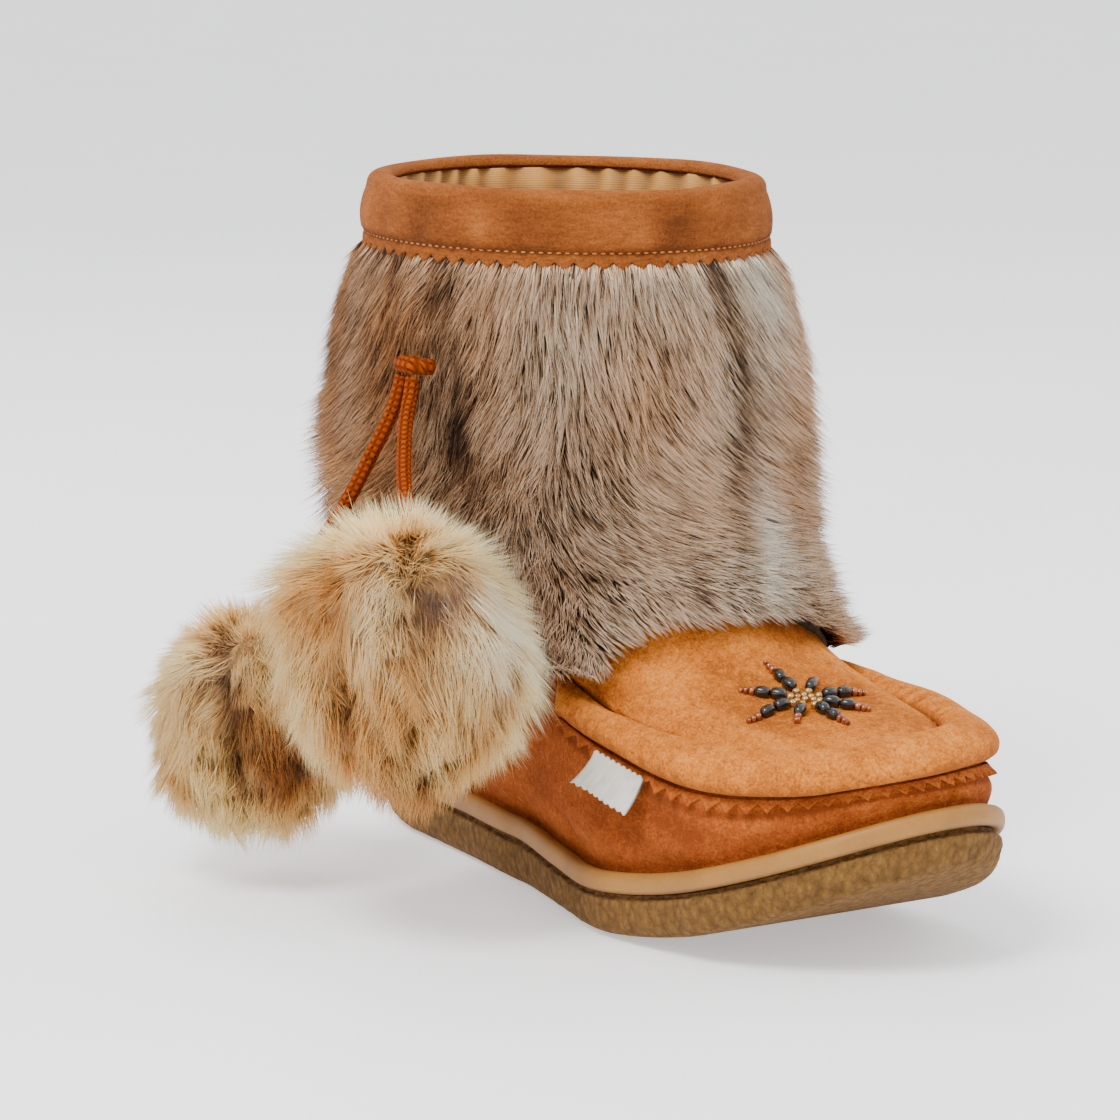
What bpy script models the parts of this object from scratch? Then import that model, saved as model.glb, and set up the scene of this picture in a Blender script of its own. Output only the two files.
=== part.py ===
"""A fur mukluk boot for the right foot, at its real size.

The boot stands on its sole with its toe along +X, the wearer's left along +Y and +Z up. The origin
is on the floor under the middle of the heel. Every piece is its own closed solid: a moulded sole
with its welt, one hollow upper, the insole, and on the upper a seam roll, an apron, pinked edges, a
fur cuff, a collar band, beads, a label, and two cords with a pompom each.
"""

import math
from collections import namedtuple

import bmesh
import bpy
import numpy as np
from mathutils import Vector
from mathutils.bvhtree import BVHTree

# Driving sizes, in metres
SOLE_LENGTH = 0.270
BALL_WIDTH = 0.100
HEEL_SEAT = 0.036
SOLE_THICKNESS = 0.0195
TOE_SPRING = 0.029
BOTTOM_EDGE_INSET = 0.0055
WELT_HEIGHT = 0.0064
WELT_WIDTH = 0.0044
FOOT_HEIGHT = 0.110
BOOT_HEIGHT = 0.2105
SHAFT_CENTRE = 0.0430
SHAFT_SIDE = 0.002
ANKLE_LENGTH = 0.150
ANKLE_WIDTH = 0.104
COLLAR_LENGTH = 0.129
COLLAR_WIDTH = 0.110
UPPER_WALL = 0.0028
INSOLE_THICKNESS = 0.005
INSOLE_LOWER_EDGE = 0.0006
INSOLE_UPPER_EDGE = 0.0012
APRON_THICKNESS = 0.0014
ROLL_HEIGHT = 0.0082
ROLL_SEAT = 0.0009
PINK_THICKNESS = 0.0013
PINK_DEPTH = 0.0032
PINK_SHARE = 0.6
BAND_HEIGHT = 0.0235
BAND_THICKNESS = 0.0022
BAND_FACING = 0.009
BAND_SWELL = 1.3
FUR_DEPTH = 0.0095
FUR_LOCK = 0.0050
FUR_LEAN = 0.9
FUR_RIPPLE = 0.18
FUR_SEAT = 0.0026
CORD_DIAMETER = 0.0046
BEAD_HEIGHT = 0.0021
LABEL_FLARE = 0.006
LABEL_THICKNESS = 0.0009
GAP = 0.0003
SEAT_GAP = 0.0006

# The bead star: its size, its rays, and its middle as a share of SOLE_LENGTH from the heel. The
# stations are shares of a ray's length.
STAR_RADIUS = 0.017
STAR_RAYS = 8
STAR_RAY_WIDTH = 0.0026
STAR_SHORT_RAY = 0.8
STAR_ALONG = 0.7815
STAR_SIDE = -0.001
STAR_STATIONS = (0.36, 0.58, 0.80, 1.00)

# The label: its two ends as shares of the way from heel to toe, its drop in ring levels, and how far
# its middle stands off as a share of LABEL_FLARE
LABEL_TURNS = (0.605, 0.665)
LABEL_DROP = 0.80
LABEL_BEND = 0.3

# Clearances along the upper, in ring levels
APRON_CLEARANCE = 0.07
APRON_TUCK = 0.35
APRON_LEAST = 0.1
TRIM_CLEARANCE = 0.1

# How finely the solids are faceted
COLUMNS = 52
OUTER_LEVELS = (0, 1, 2, 3, 4, 4.5, 5, 5.5, 6, 6.5, 7, 7.5, 8, 9, 10.3, 12)
INNER_LEVELS = (12, 10.5, 9, 8, 7, 6, 5, 4, 2, 1, 0)
FUR_ROWS = 8
BAND_SPLIT = 2
APRON_ROWS = 5
TRIM_SPLIT = 2
ROLL_COLUMNS = 12

# Colours of the plain solids
SUEDE = (0.42, 0.165, 0.042)
GUM = (0.36, 0.22, 0.085)
WELT_COLOUR = (0.50, 0.32, 0.13)
FOOTBED_COLOUR = (0.55, 0.42, 0.26)
FUR_COLOUR = (0.30, 0.23, 0.16)
BEAD_COLOUR = (0.02, 0.018, 0.016)
LABEL_COLOUR = (0.75, 0.73, 0.66)
CORD_COLOUR = (0.42, 0.10, 0.012)
POMPOM_COLOUR = (0.55, 0.38, 0.19)

# The sole's outline from heel to toe. along is a share of SOLE_LENGTH, and middle, which is positive
# on the big toe's side, and half are shares of BALL_WIDTH.
OutlineRow = namedtuple("OutlineRow", "along middle half")
OUTLINE = (
    OutlineRow(0.00, 0.000, 0.000),
    OutlineRow(0.03, 0.000, 0.200),
    OutlineRow(0.08, 0.000, 0.285),
    OutlineRow(0.16, -0.003, 0.332),
    OutlineRow(0.30, -0.025, 0.338),
    OutlineRow(0.42, -0.050, 0.345),
    OutlineRow(0.55, -0.048, 0.410),
    OutlineRow(0.68, -0.025, 0.482),
    OutlineRow(0.80, 0.015, 0.475),
    OutlineRow(0.90, 0.038, 0.378),
    OutlineRow(0.96, 0.069, 0.261),
    OutlineRow(1.00, 0.110, 0.000),
)

# The height of the sole's rim over its tread, as shares of SOLE_THICKNESS: the instep side has a wave.
RimRow = namedtuple("RimRow", "along outer inner")
RIM = (
    RimRow(0.00, 1.12, 1.05),
    RimRow(0.22, 1.10, 1.05),
    RimRow(0.42, 1.10, 1.32),
    RimRow(0.64, 1.00, 0.98),
    RimRow(0.85, 1.02, 1.02),
    RimRow(1.00, 1.05, 1.05),
)
SPRING_START = 0.60

# The sole's side from its rim down to its tread. inset is a share of BOTTOM_EDGE_INSET and drop a
# share of the side's height.
SideRow = namedtuple("SideRow", "inset drop")
SOLE_SIDE = (
    SideRow(0.10, 0.00),
    SideRow(0.00, 0.25),
    SideRow(0.12, 0.60),
    SideRow(0.45, 0.88),
    SideRow(1.00, 1.00),
)
TOE_UNDERCUT = 1.4

# The welt's section. inset is a share of WELT_WIDTH and rise a share of WELT_HEIGHT.
WeltRow = namedtuple("WeltRow", "inset rise")
WELT_SECTION = (
    WeltRow(0.10, 0.00),
    WeltRow(-0.18, 0.22),
    WeltRow(-0.18, 0.70),
    WeltRow(0.20, 1.00),
    WeltRow(1.00, 0.86),
    WeltRow(1.00, 0.00),
)

# The rings of the foot, one above the other. back and front are shares of SOLE_LENGTH and half is one
# of BALL_WIDTH. foot is 1 for the sole's shape and 0 for an oval, swing how much of the sole's curve
# a ring follows, and taper makes a ring wider at the heel. heel, waist, ball and toe are heights at
# FOOT_STATIONS, from the sole's rim, 0, to FOOT_HEIGHT, 1. lean is a share of FOOT_HEIGHT: how much
# lower the little toe's side is.
FOOT_STATIONS = (0.00, 0.45, 0.75, 1.00)
FootRing = namedtuple("FootRing", "back front half foot swing taper heel waist ball toe lean")
FOOT_RINGS = (
    FootRing(0.013, 0.984, 0.478, 0.95, 0.90, 0.00, 0.186, 0.174, 0.109, 0.079, 0.010),
    FootRing(0.013, 0.977, 0.468, 0.80, 0.60, 0.00, 0.344, 0.344, 0.268, 0.159, 0.025),
    FootRing(0.015, 0.958, 0.438, 0.60, 0.30, 0.00, 0.490, 0.477, 0.383, 0.213, 0.035),
    FootRing(0.016, 0.915, 0.385, 0.50, 0.20, 0.02, 0.611, 0.599, 0.440, 0.222, 0.035),
    FootRing(0.018, 0.830, 0.368, 0.45, 0.15, 0.10, 0.720, 0.708, 0.529, 0.258, 0.030),
    FootRing(0.020, 0.720, 0.425, 0.30, 0.10, 0.16, 0.818, 0.806, 0.663, 0.383, 0.020),
    FootRing(0.020, 0.637, 0.485, 0.10, 0.00, 0.10, 0.915, 0.903, 0.822, 0.642, 0.010),
)

# The rings of the shaft. climb is a share of the height from the ankle to the collar, and length
# and width go from the ankle's size, 0, to the collar's, 1.
ShaftRing = namedtuple("ShaftRing", "climb length width")
SHAFT_RINGS = (
    ShaftRing(0.02, 0.00, 0.00),
    ShaftRing(0.35, 0.30, 1.30),
    ShaftRing(0.70, 0.60, 1.60),
    ShaftRing(1.00, 1.00, 1.00),
)
LEVELS = 2 + len(FOOT_RINGS) + len(SHAFT_RINGS)
TOP = float(LEVELS - 1)

# Where the seam roll lies on each side, and the tips of the trim under it, in ring levels. turn is the
# share of the way from heel to toe.
RollRow = namedtuple("RollRow", "turn tips low high")
ROLL_PLACE = (
    RollRow(0.50, 3.80, 4.10, 5.30),
    RollRow(0.60, 3.50, 3.90, 5.15),
    RollRow(0.69, 3.10, 3.50, 4.85),
    RollRow(0.78, 2.60, 3.05, 4.50),
    RollRow(0.86, 2.35, 2.80, 4.35),
    RollRow(1.00, 2.30, 2.85, 4.55),
)

# The roll's section. across goes from its low edge, 0, to its high edge, 1, and height is a share of
# ROLL_HEIGHT.
RollSection = namedtuple("RollSection", "across height")
ROLL_SECTION = (
    RollSection(0.00, 0.00),
    RollSection(-0.02, 0.42),
    RollSection(0.12, 0.86),
    RollSection(0.42, 1.00),
    RollSection(0.78, 0.74),
    RollSection(1.00, 0.16),
    RollSection(1.00, 0.00),
    RollSection(0.50, 0.00),
)

# How high the roll stands at its ends, where it sinks under the fur. turn is the share of the way from
# heel to toe.
FadeRow = namedtuple("FadeRow", "turn height")
ROLL_FADE = (FadeRow(0.52, 0.25), FadeRow(0.64, 1.00))

# Where the roll and the apron begin to lift the fur. lift is 0 behind them and 1 over them.
LiftRow = namedtuple("LiftRow", "turn lift")
FUR_LIFT = (LiftRow(0.50, 0.0), LiftRow(0.54, 1.0))

# How the fur climbs on and off what it covers, in ring levels: reach is how far before the edge it
# starts, and slope how many levels it takes.
LiftEdge = namedtuple("LiftEdge", "reach slope")
ONTO_ROLL = LiftEdge(0.7, 0.4)
OFF_ROLL = LiftEdge(1.3, 0.7)
OFF_APRON = LiftEdge(1.2, 0.6)

# How deep the fur is on its way up, as a share of FUR_DEPTH
FurRow = namedtuple("FurRow", "climb depth")
FUR_FULLNESS = (
    FurRow(0.0, 0.35),
    FurRow(0.2, 0.90),
    FurRow(0.5, 1.00),
    FurRow(0.8, 0.65),
    FurRow(1.0, 0.30),
)

# The fur cuff's lower edge on the little toe's side and on the big toe's side, in ring levels
HemRow = namedtuple("HemRow", "turn outer inner")
FUR_HEM = (
    HemRow(0.00, 2.50, 2.50),
    HemRow(0.25, 2.80, 2.50),
    HemRow(0.40, 3.60, 2.90),
    HemRow(0.49, 4.50, 3.80),
    HemRow(0.58, 5.25, 4.80),
    HemRow(0.69, 6.50, 6.00),
    HemRow(0.79, 7.30, 6.85),
    HemRow(0.88, 7.65, 7.45),
    HemRow(1.00, 7.65, 7.65),
)

# The pompoms: the middle of each and its half sizes
Pompom = namedtuple("Pompom", "name middle half")
POMPOMS = (
    Pompom("pompom_front", (0.114, -0.0930, 0.080), (0.043, 0.0320, 0.048)),
    Pompom("pompom_back", (0.030, -0.1010, 0.047), (0.038, 0.0345, 0.038)),
)
POMPOM_BODY = 0.895
POMPOM_LOCK = 0.004
POMPOM_LEAN = 0.5

# The knot, and the routes of the two cords that hang from it
KNOT_MIDDLE = (0.0668, -0.0673, 0.1583)
KNOT_HALF = (0.0068, 0.0026, 0.0028)
CORD_ROUTES = {
    "cord_front": (
        (0.0698, -0.0678, 0.1550),
        (0.0708, -0.0695, 0.1490),
        (0.0760, -0.0740, 0.1420),
        (0.0845, -0.0795, 0.1350),
        (0.0930, -0.0845, 0.1290),
        (0.1025, -0.0890, 0.1222),
    ),
    "cord_back": (
        (0.0638, -0.0678, 0.1550),
        (0.0634, -0.0705, 0.1460),
        (0.0615, -0.0772, 0.1320),
        (0.0570, -0.0850, 0.1150),
        (0.0490, -0.0920, 0.1000),
        (0.0395, -0.0975, 0.0828),
    ),
}


def pchip_slopes(keys, values):
    """The slopes of a smooth curve that never overshoots its points."""
    step = np.diff(keys)
    rise = np.diff(values) / step
    slopes = np.zeros(len(values))
    slopes[0], slopes[-1] = rise[0], rise[-1]
    for i in range(1, len(values) - 1):
        if rise[i - 1] * rise[i] > 0:
            before = 2 * step[i] + step[i - 1]
            after = step[i] + 2 * step[i - 1]
            slopes[i] = (before + after) / (before / rise[i - 1] + after / rise[i])
    return slopes


def smooth(keys, values, at):
    """Reads a table's column as a smooth curve."""
    keys = np.asarray(keys, float)
    values = np.asarray(values, float)
    slopes = pchip_slopes(keys, values)
    at = np.clip(np.asarray(at, float), keys[0], keys[-1])
    i = np.clip(np.searchsorted(keys, at, side="right") - 1, 0, len(keys) - 2)
    step = keys[i + 1] - keys[i]
    t = (at - keys[i]) / step
    return (
        values[i] * (1 + 2 * t) * (1 - t) ** 2
        + slopes[i] * step * t * (1 - t) ** 2
        + values[i + 1] * t**2 * (3 - 2 * t)
        + slopes[i + 1] * step * t**2 * (t - 1)
    )


def column(table, name):
    return [getattr(row, name) for row in table]


def even_turns(count):
    """Turns round the boot: 0 at the heel, pi at the toe, and the little toe's side in between."""
    return np.arange(count) * 2 * math.pi / count


def to_toe(turns):
    """The angle from the heel, 0, to the toe, pi, on either side."""
    turns = np.mod(turns, 2 * math.pi)
    return np.minimum(turns, 2 * math.pi - turns)


def outer_side(turns):
    """1 on the little toe's side, 0 on the big toe's side, and a smooth change at heel and toe."""
    share = np.clip(0.5 + 0.9 * np.sin(turns), 0, 1)
    return share * share * (3 - 2 * share)


def outline_shares(angle):
    """The outline's middle and half width at an angle from the heel, as shares of BALL_WIDTH."""
    keys = np.arccos(1 - 2 * np.array(column(OUTLINE, "along")))
    return smooth(keys, column(OUTLINE, "middle"), angle), smooth(keys, column(OUTLINE, "half"), angle)


def outline(turns):
    """The sole's rim in plan."""
    angle = to_toe(turns)
    middle, half = outline_shares(angle)
    x = SOLE_LENGTH * (1 - np.cos(angle)) / 2 - HEEL_SEAT
    side = np.where(np.sin(turns) >= 0, -1.0, 1.0)
    return np.stack([x, BALL_WIDTH * (middle + side * half)], -1)


def inset_outline(turns, inset):
    """The sole's rim moved inwards by a width."""
    step = 0.04
    along = outline(turns + step) - outline(turns - step)
    along /= np.linalg.norm(along, axis=-1, keepdims=True)
    inwards = np.stack([-along[..., 1], along[..., 0]], -1)
    return outline(turns) + inwards * np.asarray(inset)[..., None]


def share_along(x):
    return np.clip((x + HEEL_SEAT) / SOLE_LENGTH, 0, 1)


def tread_height(x):
    """How far the sole's tread is off the floor: it is flat, and then rises to the toe."""
    return TOE_SPRING * np.clip((share_along(x) - SPRING_START) / (1 - SPRING_START), 0, 1) ** 2


def rim_height(turns):
    """The height of the sole's rim over the floor."""
    x = outline(turns)[..., 0]
    along = share_along(x)
    outer = smooth(column(RIM, "along"), column(RIM, "outer"), along)
    inner = smooth(column(RIM, "along"), column(RIM, "inner"), along)
    share = outer_side(turns)
    return tread_height(x) + SOLE_THICKNESS * (outer * share + inner * (1 - share))


def ledge_height(turns):
    """The top of the outsole, on which welt, upper and insole lie."""
    return rim_height(turns) - WELT_HEIGHT


def sole_ring(turns, inset, height):
    return np.column_stack([inset_outline(turns, inset), height])


def foot_ring(row, turns):
    """One ring of the foot part of the upper."""
    angle = to_toe(turns)
    reach = (1 - np.cos(angle)) / 2
    x = SOLE_LENGTH * (row.back + (row.front - row.back) * reach) - HEEL_SEAT
    middle, half = outline_shares(angle)
    widest = max(column(OUTLINE, "half"))
    shape = row.foot * half / widest + (1 - row.foot) * np.sin(angle)
    side = np.where(np.sin(turns) >= 0, -1.0, 1.0)
    width = row.half * shape * (1 + row.taper * np.cos(angle))
    y = BALL_WIDTH * (row.swing * middle + side * width)
    stations = np.array(FOOT_STATIONS)
    rim = SOLE_THICKNESS + tread_height(SOLE_LENGTH * stations - HEEL_SEAT)
    heights = rim + (FOOT_HEIGHT - rim) * np.array((row.heel, row.waist, row.ball, row.toe))
    z = smooth(stations, heights, reach) + FOOT_HEIGHT * row.lean * np.sin(angle) * reach * side
    return np.column_stack([x, y, z])


def shaft_ring(row, turns):
    """One oval ring of the shaft."""
    length = ANKLE_LENGTH + (COLLAR_LENGTH - ANKLE_LENGTH) * row.length
    width = ANKLE_WIDTH + (COLLAR_WIDTH - ANKLE_WIDTH) * row.width
    z = FOOT_HEIGHT + (BOOT_HEIGHT - BAND_THICKNESS - GAP - FOOT_HEIGHT) * row.climb
    x = SHAFT_CENTRE - np.cos(turns) * length / 2
    y = SHAFT_SIDE - np.sin(turns) * width / 2
    return np.column_stack([x, y, np.full(len(turns), z)])


def upper_rings(turns):
    """Every ring of the upper's outer face, from the sole to the collar."""
    inside_welt = WELT_WIDTH + GAP
    rings = [
        sole_ring(turns, inside_welt, ledge_height(turns) + GAP),
        sole_ring(turns, inside_welt, rim_height(turns) + GAP),
    ]
    rings += [foot_ring(row, turns) for row in FOOT_RINGS]
    rings += [shaft_ring(row, turns) for row in SHAFT_RINGS]
    return np.array(rings)


def on_upper(turns, levels):
    """Points on the upper's outer face, at turns round it and levels up it."""
    turns = np.asarray(turns, float)
    levels = np.clip(np.broadcast_to(levels, turns.shape), 0, TOP)
    rings = upper_rings(turns)
    rise = np.diff(rings, axis=0)
    product = rise[:-1] * rise[1:]
    total = rise[:-1] + rise[1:]
    inner = np.where(product > 0, 2 * product / np.where(product > 0, total, 1), 0)
    slopes = np.concatenate([rise[:1], inner, rise[-1:]])
    i = np.minimum(levels.astype(int), LEVELS - 2)
    t = (levels - i)[:, None]
    each = np.arange(len(turns))
    return (
        rings[i, each] * (1 + 2 * t) * (1 - t) ** 2
        + slopes[i, each] * t * (1 - t) ** 2
        + rings[i + 1, each] * t**2 * (3 - 2 * t)
        + slopes[i + 1, each] * t**2 * (t - 1)
    )


def upper_normal(turns, levels):
    """Directions out of the upper's outer face."""
    turns = np.asarray(turns, float)
    levels = np.clip(np.broadcast_to(levels, turns.shape), 0.12, TOP - 0.12)
    round_step, up_step = 0.03, 0.1
    across = on_upper(turns + round_step, levels) - on_upper(turns - round_step, levels)
    up = on_upper(turns, levels + up_step) - on_upper(turns, levels - up_step)
    normal = np.cross(across, up)
    return normal / np.linalg.norm(normal, axis=1, keepdims=True)


def off_upper(turns, levels, out):
    """Points a distance out from the upper's outer face, or into it where the distance is negative."""
    out = np.broadcast_to(out, np.shape(turns))[:, None]
    return on_upper(turns, levels) + upper_normal(turns, levels) * out


def finish_piece(name, colour, roughness, mesh_builder, metallic=0.0):
    """Makes an object from a bmesh, with its own material."""
    bmesh.ops.recalc_face_normals(mesh_builder, faces=mesh_builder.faces)
    mesh = bpy.data.meshes.new(name)
    mesh_builder.to_mesh(mesh)
    mesh_builder.free()
    mesh.shade_smooth()
    piece = bpy.data.objects.new(name, mesh)
    bpy.context.scene.collection.objects.link(piece)
    paint(piece, colour, roughness, metallic)
    return piece


def paint(piece, colour, roughness, metallic=0.0):
    material = bpy.data.materials.new(piece.name)
    material.use_nodes = True
    shader = material.node_tree.nodes["Principled BSDF"]
    shader.inputs["Base Color"].default_value = (*colour, 1.0)
    shader.inputs["Roughness"].default_value = roughness
    shader.inputs["Metallic"].default_value = metallic
    piece.data.materials.append(material)


def add_rings(mesh_builder, rings, closed_round=True, closed_section=False):
    """Skins a list of rings, and returns the rings' vertices."""
    made = [[mesh_builder.verts.new(point) for point in ring] for ring in rings]
    pairs = list(zip(made, made[1:]))
    if closed_section:
        pairs.append((made[-1], made[0]))
    count = len(made[0])
    for low, high in pairs:
        for i in range(count if closed_round else count - 1):
            j = (i + 1) % count
            mesh_builder.faces.new((low[i], low[j], high[j], high[i]))
    return made


def cap_across(mesh_builder, ring):
    """Closes a ring that starts at the heel with faces that run from side to side."""
    count = len(ring)
    for i in range(count // 2):
        corners = (ring[i], ring[i + 1], ring[(count - i - 1) % count], ring[(count - i) % count])
        distinct = list(dict.fromkeys(corners))
        mesh_builder.faces.new(distinct)


def make_outsole():
    """The moulded sole under the welt: flat from heel to ball, with a sprung toe."""
    turns = even_turns(COLUMNS)
    x = outline(turns)[:, 0]
    top = ledge_height(turns) - GAP
    bottom = tread_height(x)
    undercut = 1 + (TOE_UNDERCUT - 1) * smooth((0, 0.7, 1), (0, 0.1, 1), share_along(x))
    builder = bmesh.new()
    rings = [
        sole_ring(turns, BOTTOM_EDGE_INSET * row.inset * undercut, top + (bottom - top) * row.drop)
        for row in SOLE_SIDE
    ]
    made = add_rings(builder, rings)
    cap_across(builder, made[0])
    cap_across(builder, made[-1])
    finish_piece("outsole", GUM, 0.85, builder)


def make_welt():
    """The smooth band round the sole's rim, which holds the upper's edge."""
    turns = even_turns(COLUMNS)
    base = ledge_height(turns)
    builder = bmesh.new()
    rings = [
        sole_ring(turns, WELT_WIDTH * row.inset, base + WELT_HEIGHT * row.rise)
        for row in WELT_SECTION
    ]
    add_rings(builder, rings, closed_section=True)
    finish_piece("welt", WELT_COLOUR, 0.5, builder)


def make_upper():
    """The hollow upper: one wall from the sole to the collar, open at both ends."""
    turns = even_turns(COLUMNS)
    rings = [on_upper(turns, level) for level in OUTER_LEVELS]
    for level in INNER_LEVELS:
        ring = off_upper(turns, level, -UPPER_WALL)
        edge = on_upper(turns, level)
        ring[:, 2] = np.where(level in (0, TOP), edge[:, 2], ring[:, 2])
        rings.append(ring)
    builder = bmesh.new()
    add_rings(builder, rings, closed_section=True)
    finish_piece("upper", SUEDE, 0.9, builder)


def make_insole():
    """The footbed, which fills the upper's floor."""
    turns = even_turns(COLUMNS)
    clear = WELT_WIDTH + UPPER_WALL + 4 * GAP
    floor = ledge_height(turns) + GAP
    rings = [
        sole_ring(turns, clear + INSOLE_LOWER_EDGE, floor),
        sole_ring(turns, clear, floor + INSOLE_THICKNESS / 2),
        sole_ring(turns, clear + INSOLE_UPPER_EDGE, floor + INSOLE_THICKNESS),
    ]
    builder = bmesh.new()
    made = add_rings(builder, rings)
    cap_across(builder, made[0])
    cap_across(builder, made[-1])
    finish_piece("insole", FOOTBED_COLOUR, 0.95, builder)


def front_turns(split=1):
    """Turns from the roll's one end round the toe to its other, on the upper's own columns."""
    count = ROLL_COLUMNS * split
    return math.pi + np.arange(-count, count + 1) * 2 * math.pi / (COLUMNS * split)


def roll_level(turns, name):
    """A level of the seam roll's place at each turn."""
    return smooth(column(ROLL_PLACE, "turn"), column(ROLL_PLACE, name), to_toe(turns) / math.pi)


def roll_fade(turns):
    """The roll sinks under the fur: 1 where it shows, and less at its ends."""
    return smooth(column(ROLL_FADE, "turn"), column(ROLL_FADE, "height"), to_toe(turns) / math.pi)


def make_seam_roll():
    """The padded roll of suede that is gathered round the apron."""
    turns = front_turns()
    low, high = roll_level(turns, "low"), roll_level(turns, "high")
    height = ROLL_HEIGHT * roll_fade(turns)
    rings = [
        off_upper(turns, low + (high - low) * row.across, ROLL_SEAT + height * row.height)
        for row in ROLL_SECTION
    ]
    builder = bmesh.new()
    made = add_rings(builder, rings, closed_round=False, closed_section=True)
    builder.faces.new([ring[0] for ring in made])
    builder.faces.new([ring[-1] for ring in made])
    finish_piece("seam_roll", SUEDE, 0.9, builder)


def make_apron():
    """The flat panel over the toes, inside the roll and under the fur."""
    turns = front_turns()
    bottom = roll_level(turns, "high") + APRON_CLEARANCE
    top = fur_hem(turns) + APRON_TUCK
    shares = np.linspace(0, 1, APRON_ROWS)
    levels = [bottom + np.maximum(top - bottom, APRON_LEAST) * share for share in shares]
    rings = [off_upper(turns, level, SEAT_GAP + APRON_THICKNESS) for level in levels]
    rings += [off_upper(turns, level, SEAT_GAP) for level in levels[::-1]]
    builder = bmesh.new()
    made = add_rings(builder, rings, closed_round=False, closed_section=True)
    for end in (0, -1):
        edge = [ring[end] for ring in made]
        for i in range(APRON_ROWS - 1):
            builder.faces.new((edge[i], edge[i + 1], edge[-2 - i], edge[-1 - i]))
    return finish_piece("apron", SUEDE, 0.9, builder)


def make_pinked_trim():
    """The saw-toothed edge of suede that shows under the roll."""
    turns = front_turns(TRIM_SPLIT)
    tooth = np.arange(len(turns)) % 2
    tips, top = roll_level(turns, "tips"), roll_level(turns, "low") - TRIM_CLEARANCE
    low = tips + (top - tips) * PINK_SHARE * tooth
    rings = [
        off_upper(turns, low, SEAT_GAP),
        off_upper(turns, low, SEAT_GAP + PINK_THICKNESS),
        off_upper(turns, top, SEAT_GAP + PINK_THICKNESS),
        off_upper(turns, top, SEAT_GAP),
    ]
    builder = bmesh.new()
    made = add_rings(builder, rings, closed_round=False, closed_section=True)
    builder.faces.new([ring[0] for ring in made])
    builder.faces.new([ring[-1] for ring in made])
    finish_piece("pinked_trim", SUEDE, 0.9, builder)


def fur_hem(turns):
    """The level of the fur cuff's lower edge."""
    keys, share = column(FUR_HEM, "turn"), outer_side(turns)
    turn = to_toe(turns) / math.pi
    outer = smooth(keys, column(FUR_HEM, "outer"), turn)
    inner = smooth(keys, column(FUR_HEM, "inner"), turn)
    return outer * share + inner * (1 - share)


def covered(turns, levels):
    """How high the roll, the apron and the trim stand on the upper, with a gap over them."""
    within = smooth(column(FUR_LIFT, "turn"), column(FUR_LIFT, "lift"), to_toe(turns) / math.pi)
    onto_roll = (levels - roll_level(turns, "low") + ONTO_ROLL.reach) / ONTO_ROLL.slope
    off_roll = (roll_level(turns, "high") + OFF_ROLL.reach - levels) / OFF_ROLL.slope
    off_apron = (fur_hem(turns) + APRON_TUCK + OFF_APRON.reach - levels) / OFF_APRON.slope
    roll = (ROLL_HEIGHT * roll_fade(turns) + 2 * GAP) * np.clip(onto_roll, 0, 1) * np.clip(off_roll, 0, 1)
    return within * np.maximum(roll, (APRON_THICKNESS + 2 * GAP) * np.clip(off_apron, 0, 1))


def level_at_height(turns, height):
    """The level at which the upper reaches a height, for the straight shaft."""
    height = np.broadcast_to(height, turns.shape)
    levels = np.linspace(TOP - 4, TOP, 41)
    heights = np.array([on_upper(turns, level)[:, 2] for level in levels])
    return np.array([np.interp(height[i], heights[:, i], levels) for i in range(len(turns))])


def make_fur_cuff():
    """The fur round the shaft: a hide with a lock drawn out of every face of it."""
    turns = even_turns(COLUMNS)
    top = level_at_height(turns, BOOT_HEIGHT - BAND_HEIGHT - 3 * GAP)
    hem = fur_hem(turns)
    levels = [hem + (top - hem) * share for share in np.linspace(0, 1, FUR_ROWS)]
    outer = []
    for row, level in enumerate(levels):
        share = row / (FUR_ROWS - 1)
        depth = FUR_DEPTH * smooth(column(FUR_FULLNESS, "climb"), column(FUR_FULLNESS, "depth"), share)
        ripple = 1 + FUR_RIPPLE * np.cos(turns * COLUMNS / 2 + row * math.pi)
        outer.append(off_upper(turns, level, FUR_SEAT + covered(turns, level) + depth * ripple))
    inner = [off_upper(turns, level, FUR_SEAT + covered(turns, level)) for level in levels[::-1]]
    builder = bmesh.new()
    made = add_rings(builder, outer + inner, closed_section=True)
    outside = {vertex for ring in made[:FUR_ROWS] for vertex in ring}
    faces = [face for face in builder.faces if all(vertex in outside for vertex in face.verts)]
    draw_locks(builder, faces, FUR_LOCK, FUR_LEAN)
    finish_piece("fur_cuff", FUR_COLOUR, 0.95, builder)


def draw_locks(builder, faces, length, lean):
    """Draws a pointed lock out of each face, leaning downwards as the fur falls."""
    fall = Vector((0, 0, -1))
    for face in faces:
        face.normal_update()
        middle, normal = face.calc_center_median(), face.normal.copy()
        size = math.sqrt(face.calc_area())
        tip = middle + normal * length + (fall - normal * normal.dot(fall)) * size * lean
        made = bmesh.ops.poke(builder, faces=[face])
        made["verts"][0].co = tip


def band_ring(turns, height, out):
    """A ring at one height, a distance out from the shaft's face."""
    ring = off_upper(turns, level_at_height(turns, height), out)
    ring[:, 2] = height
    return ring


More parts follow.
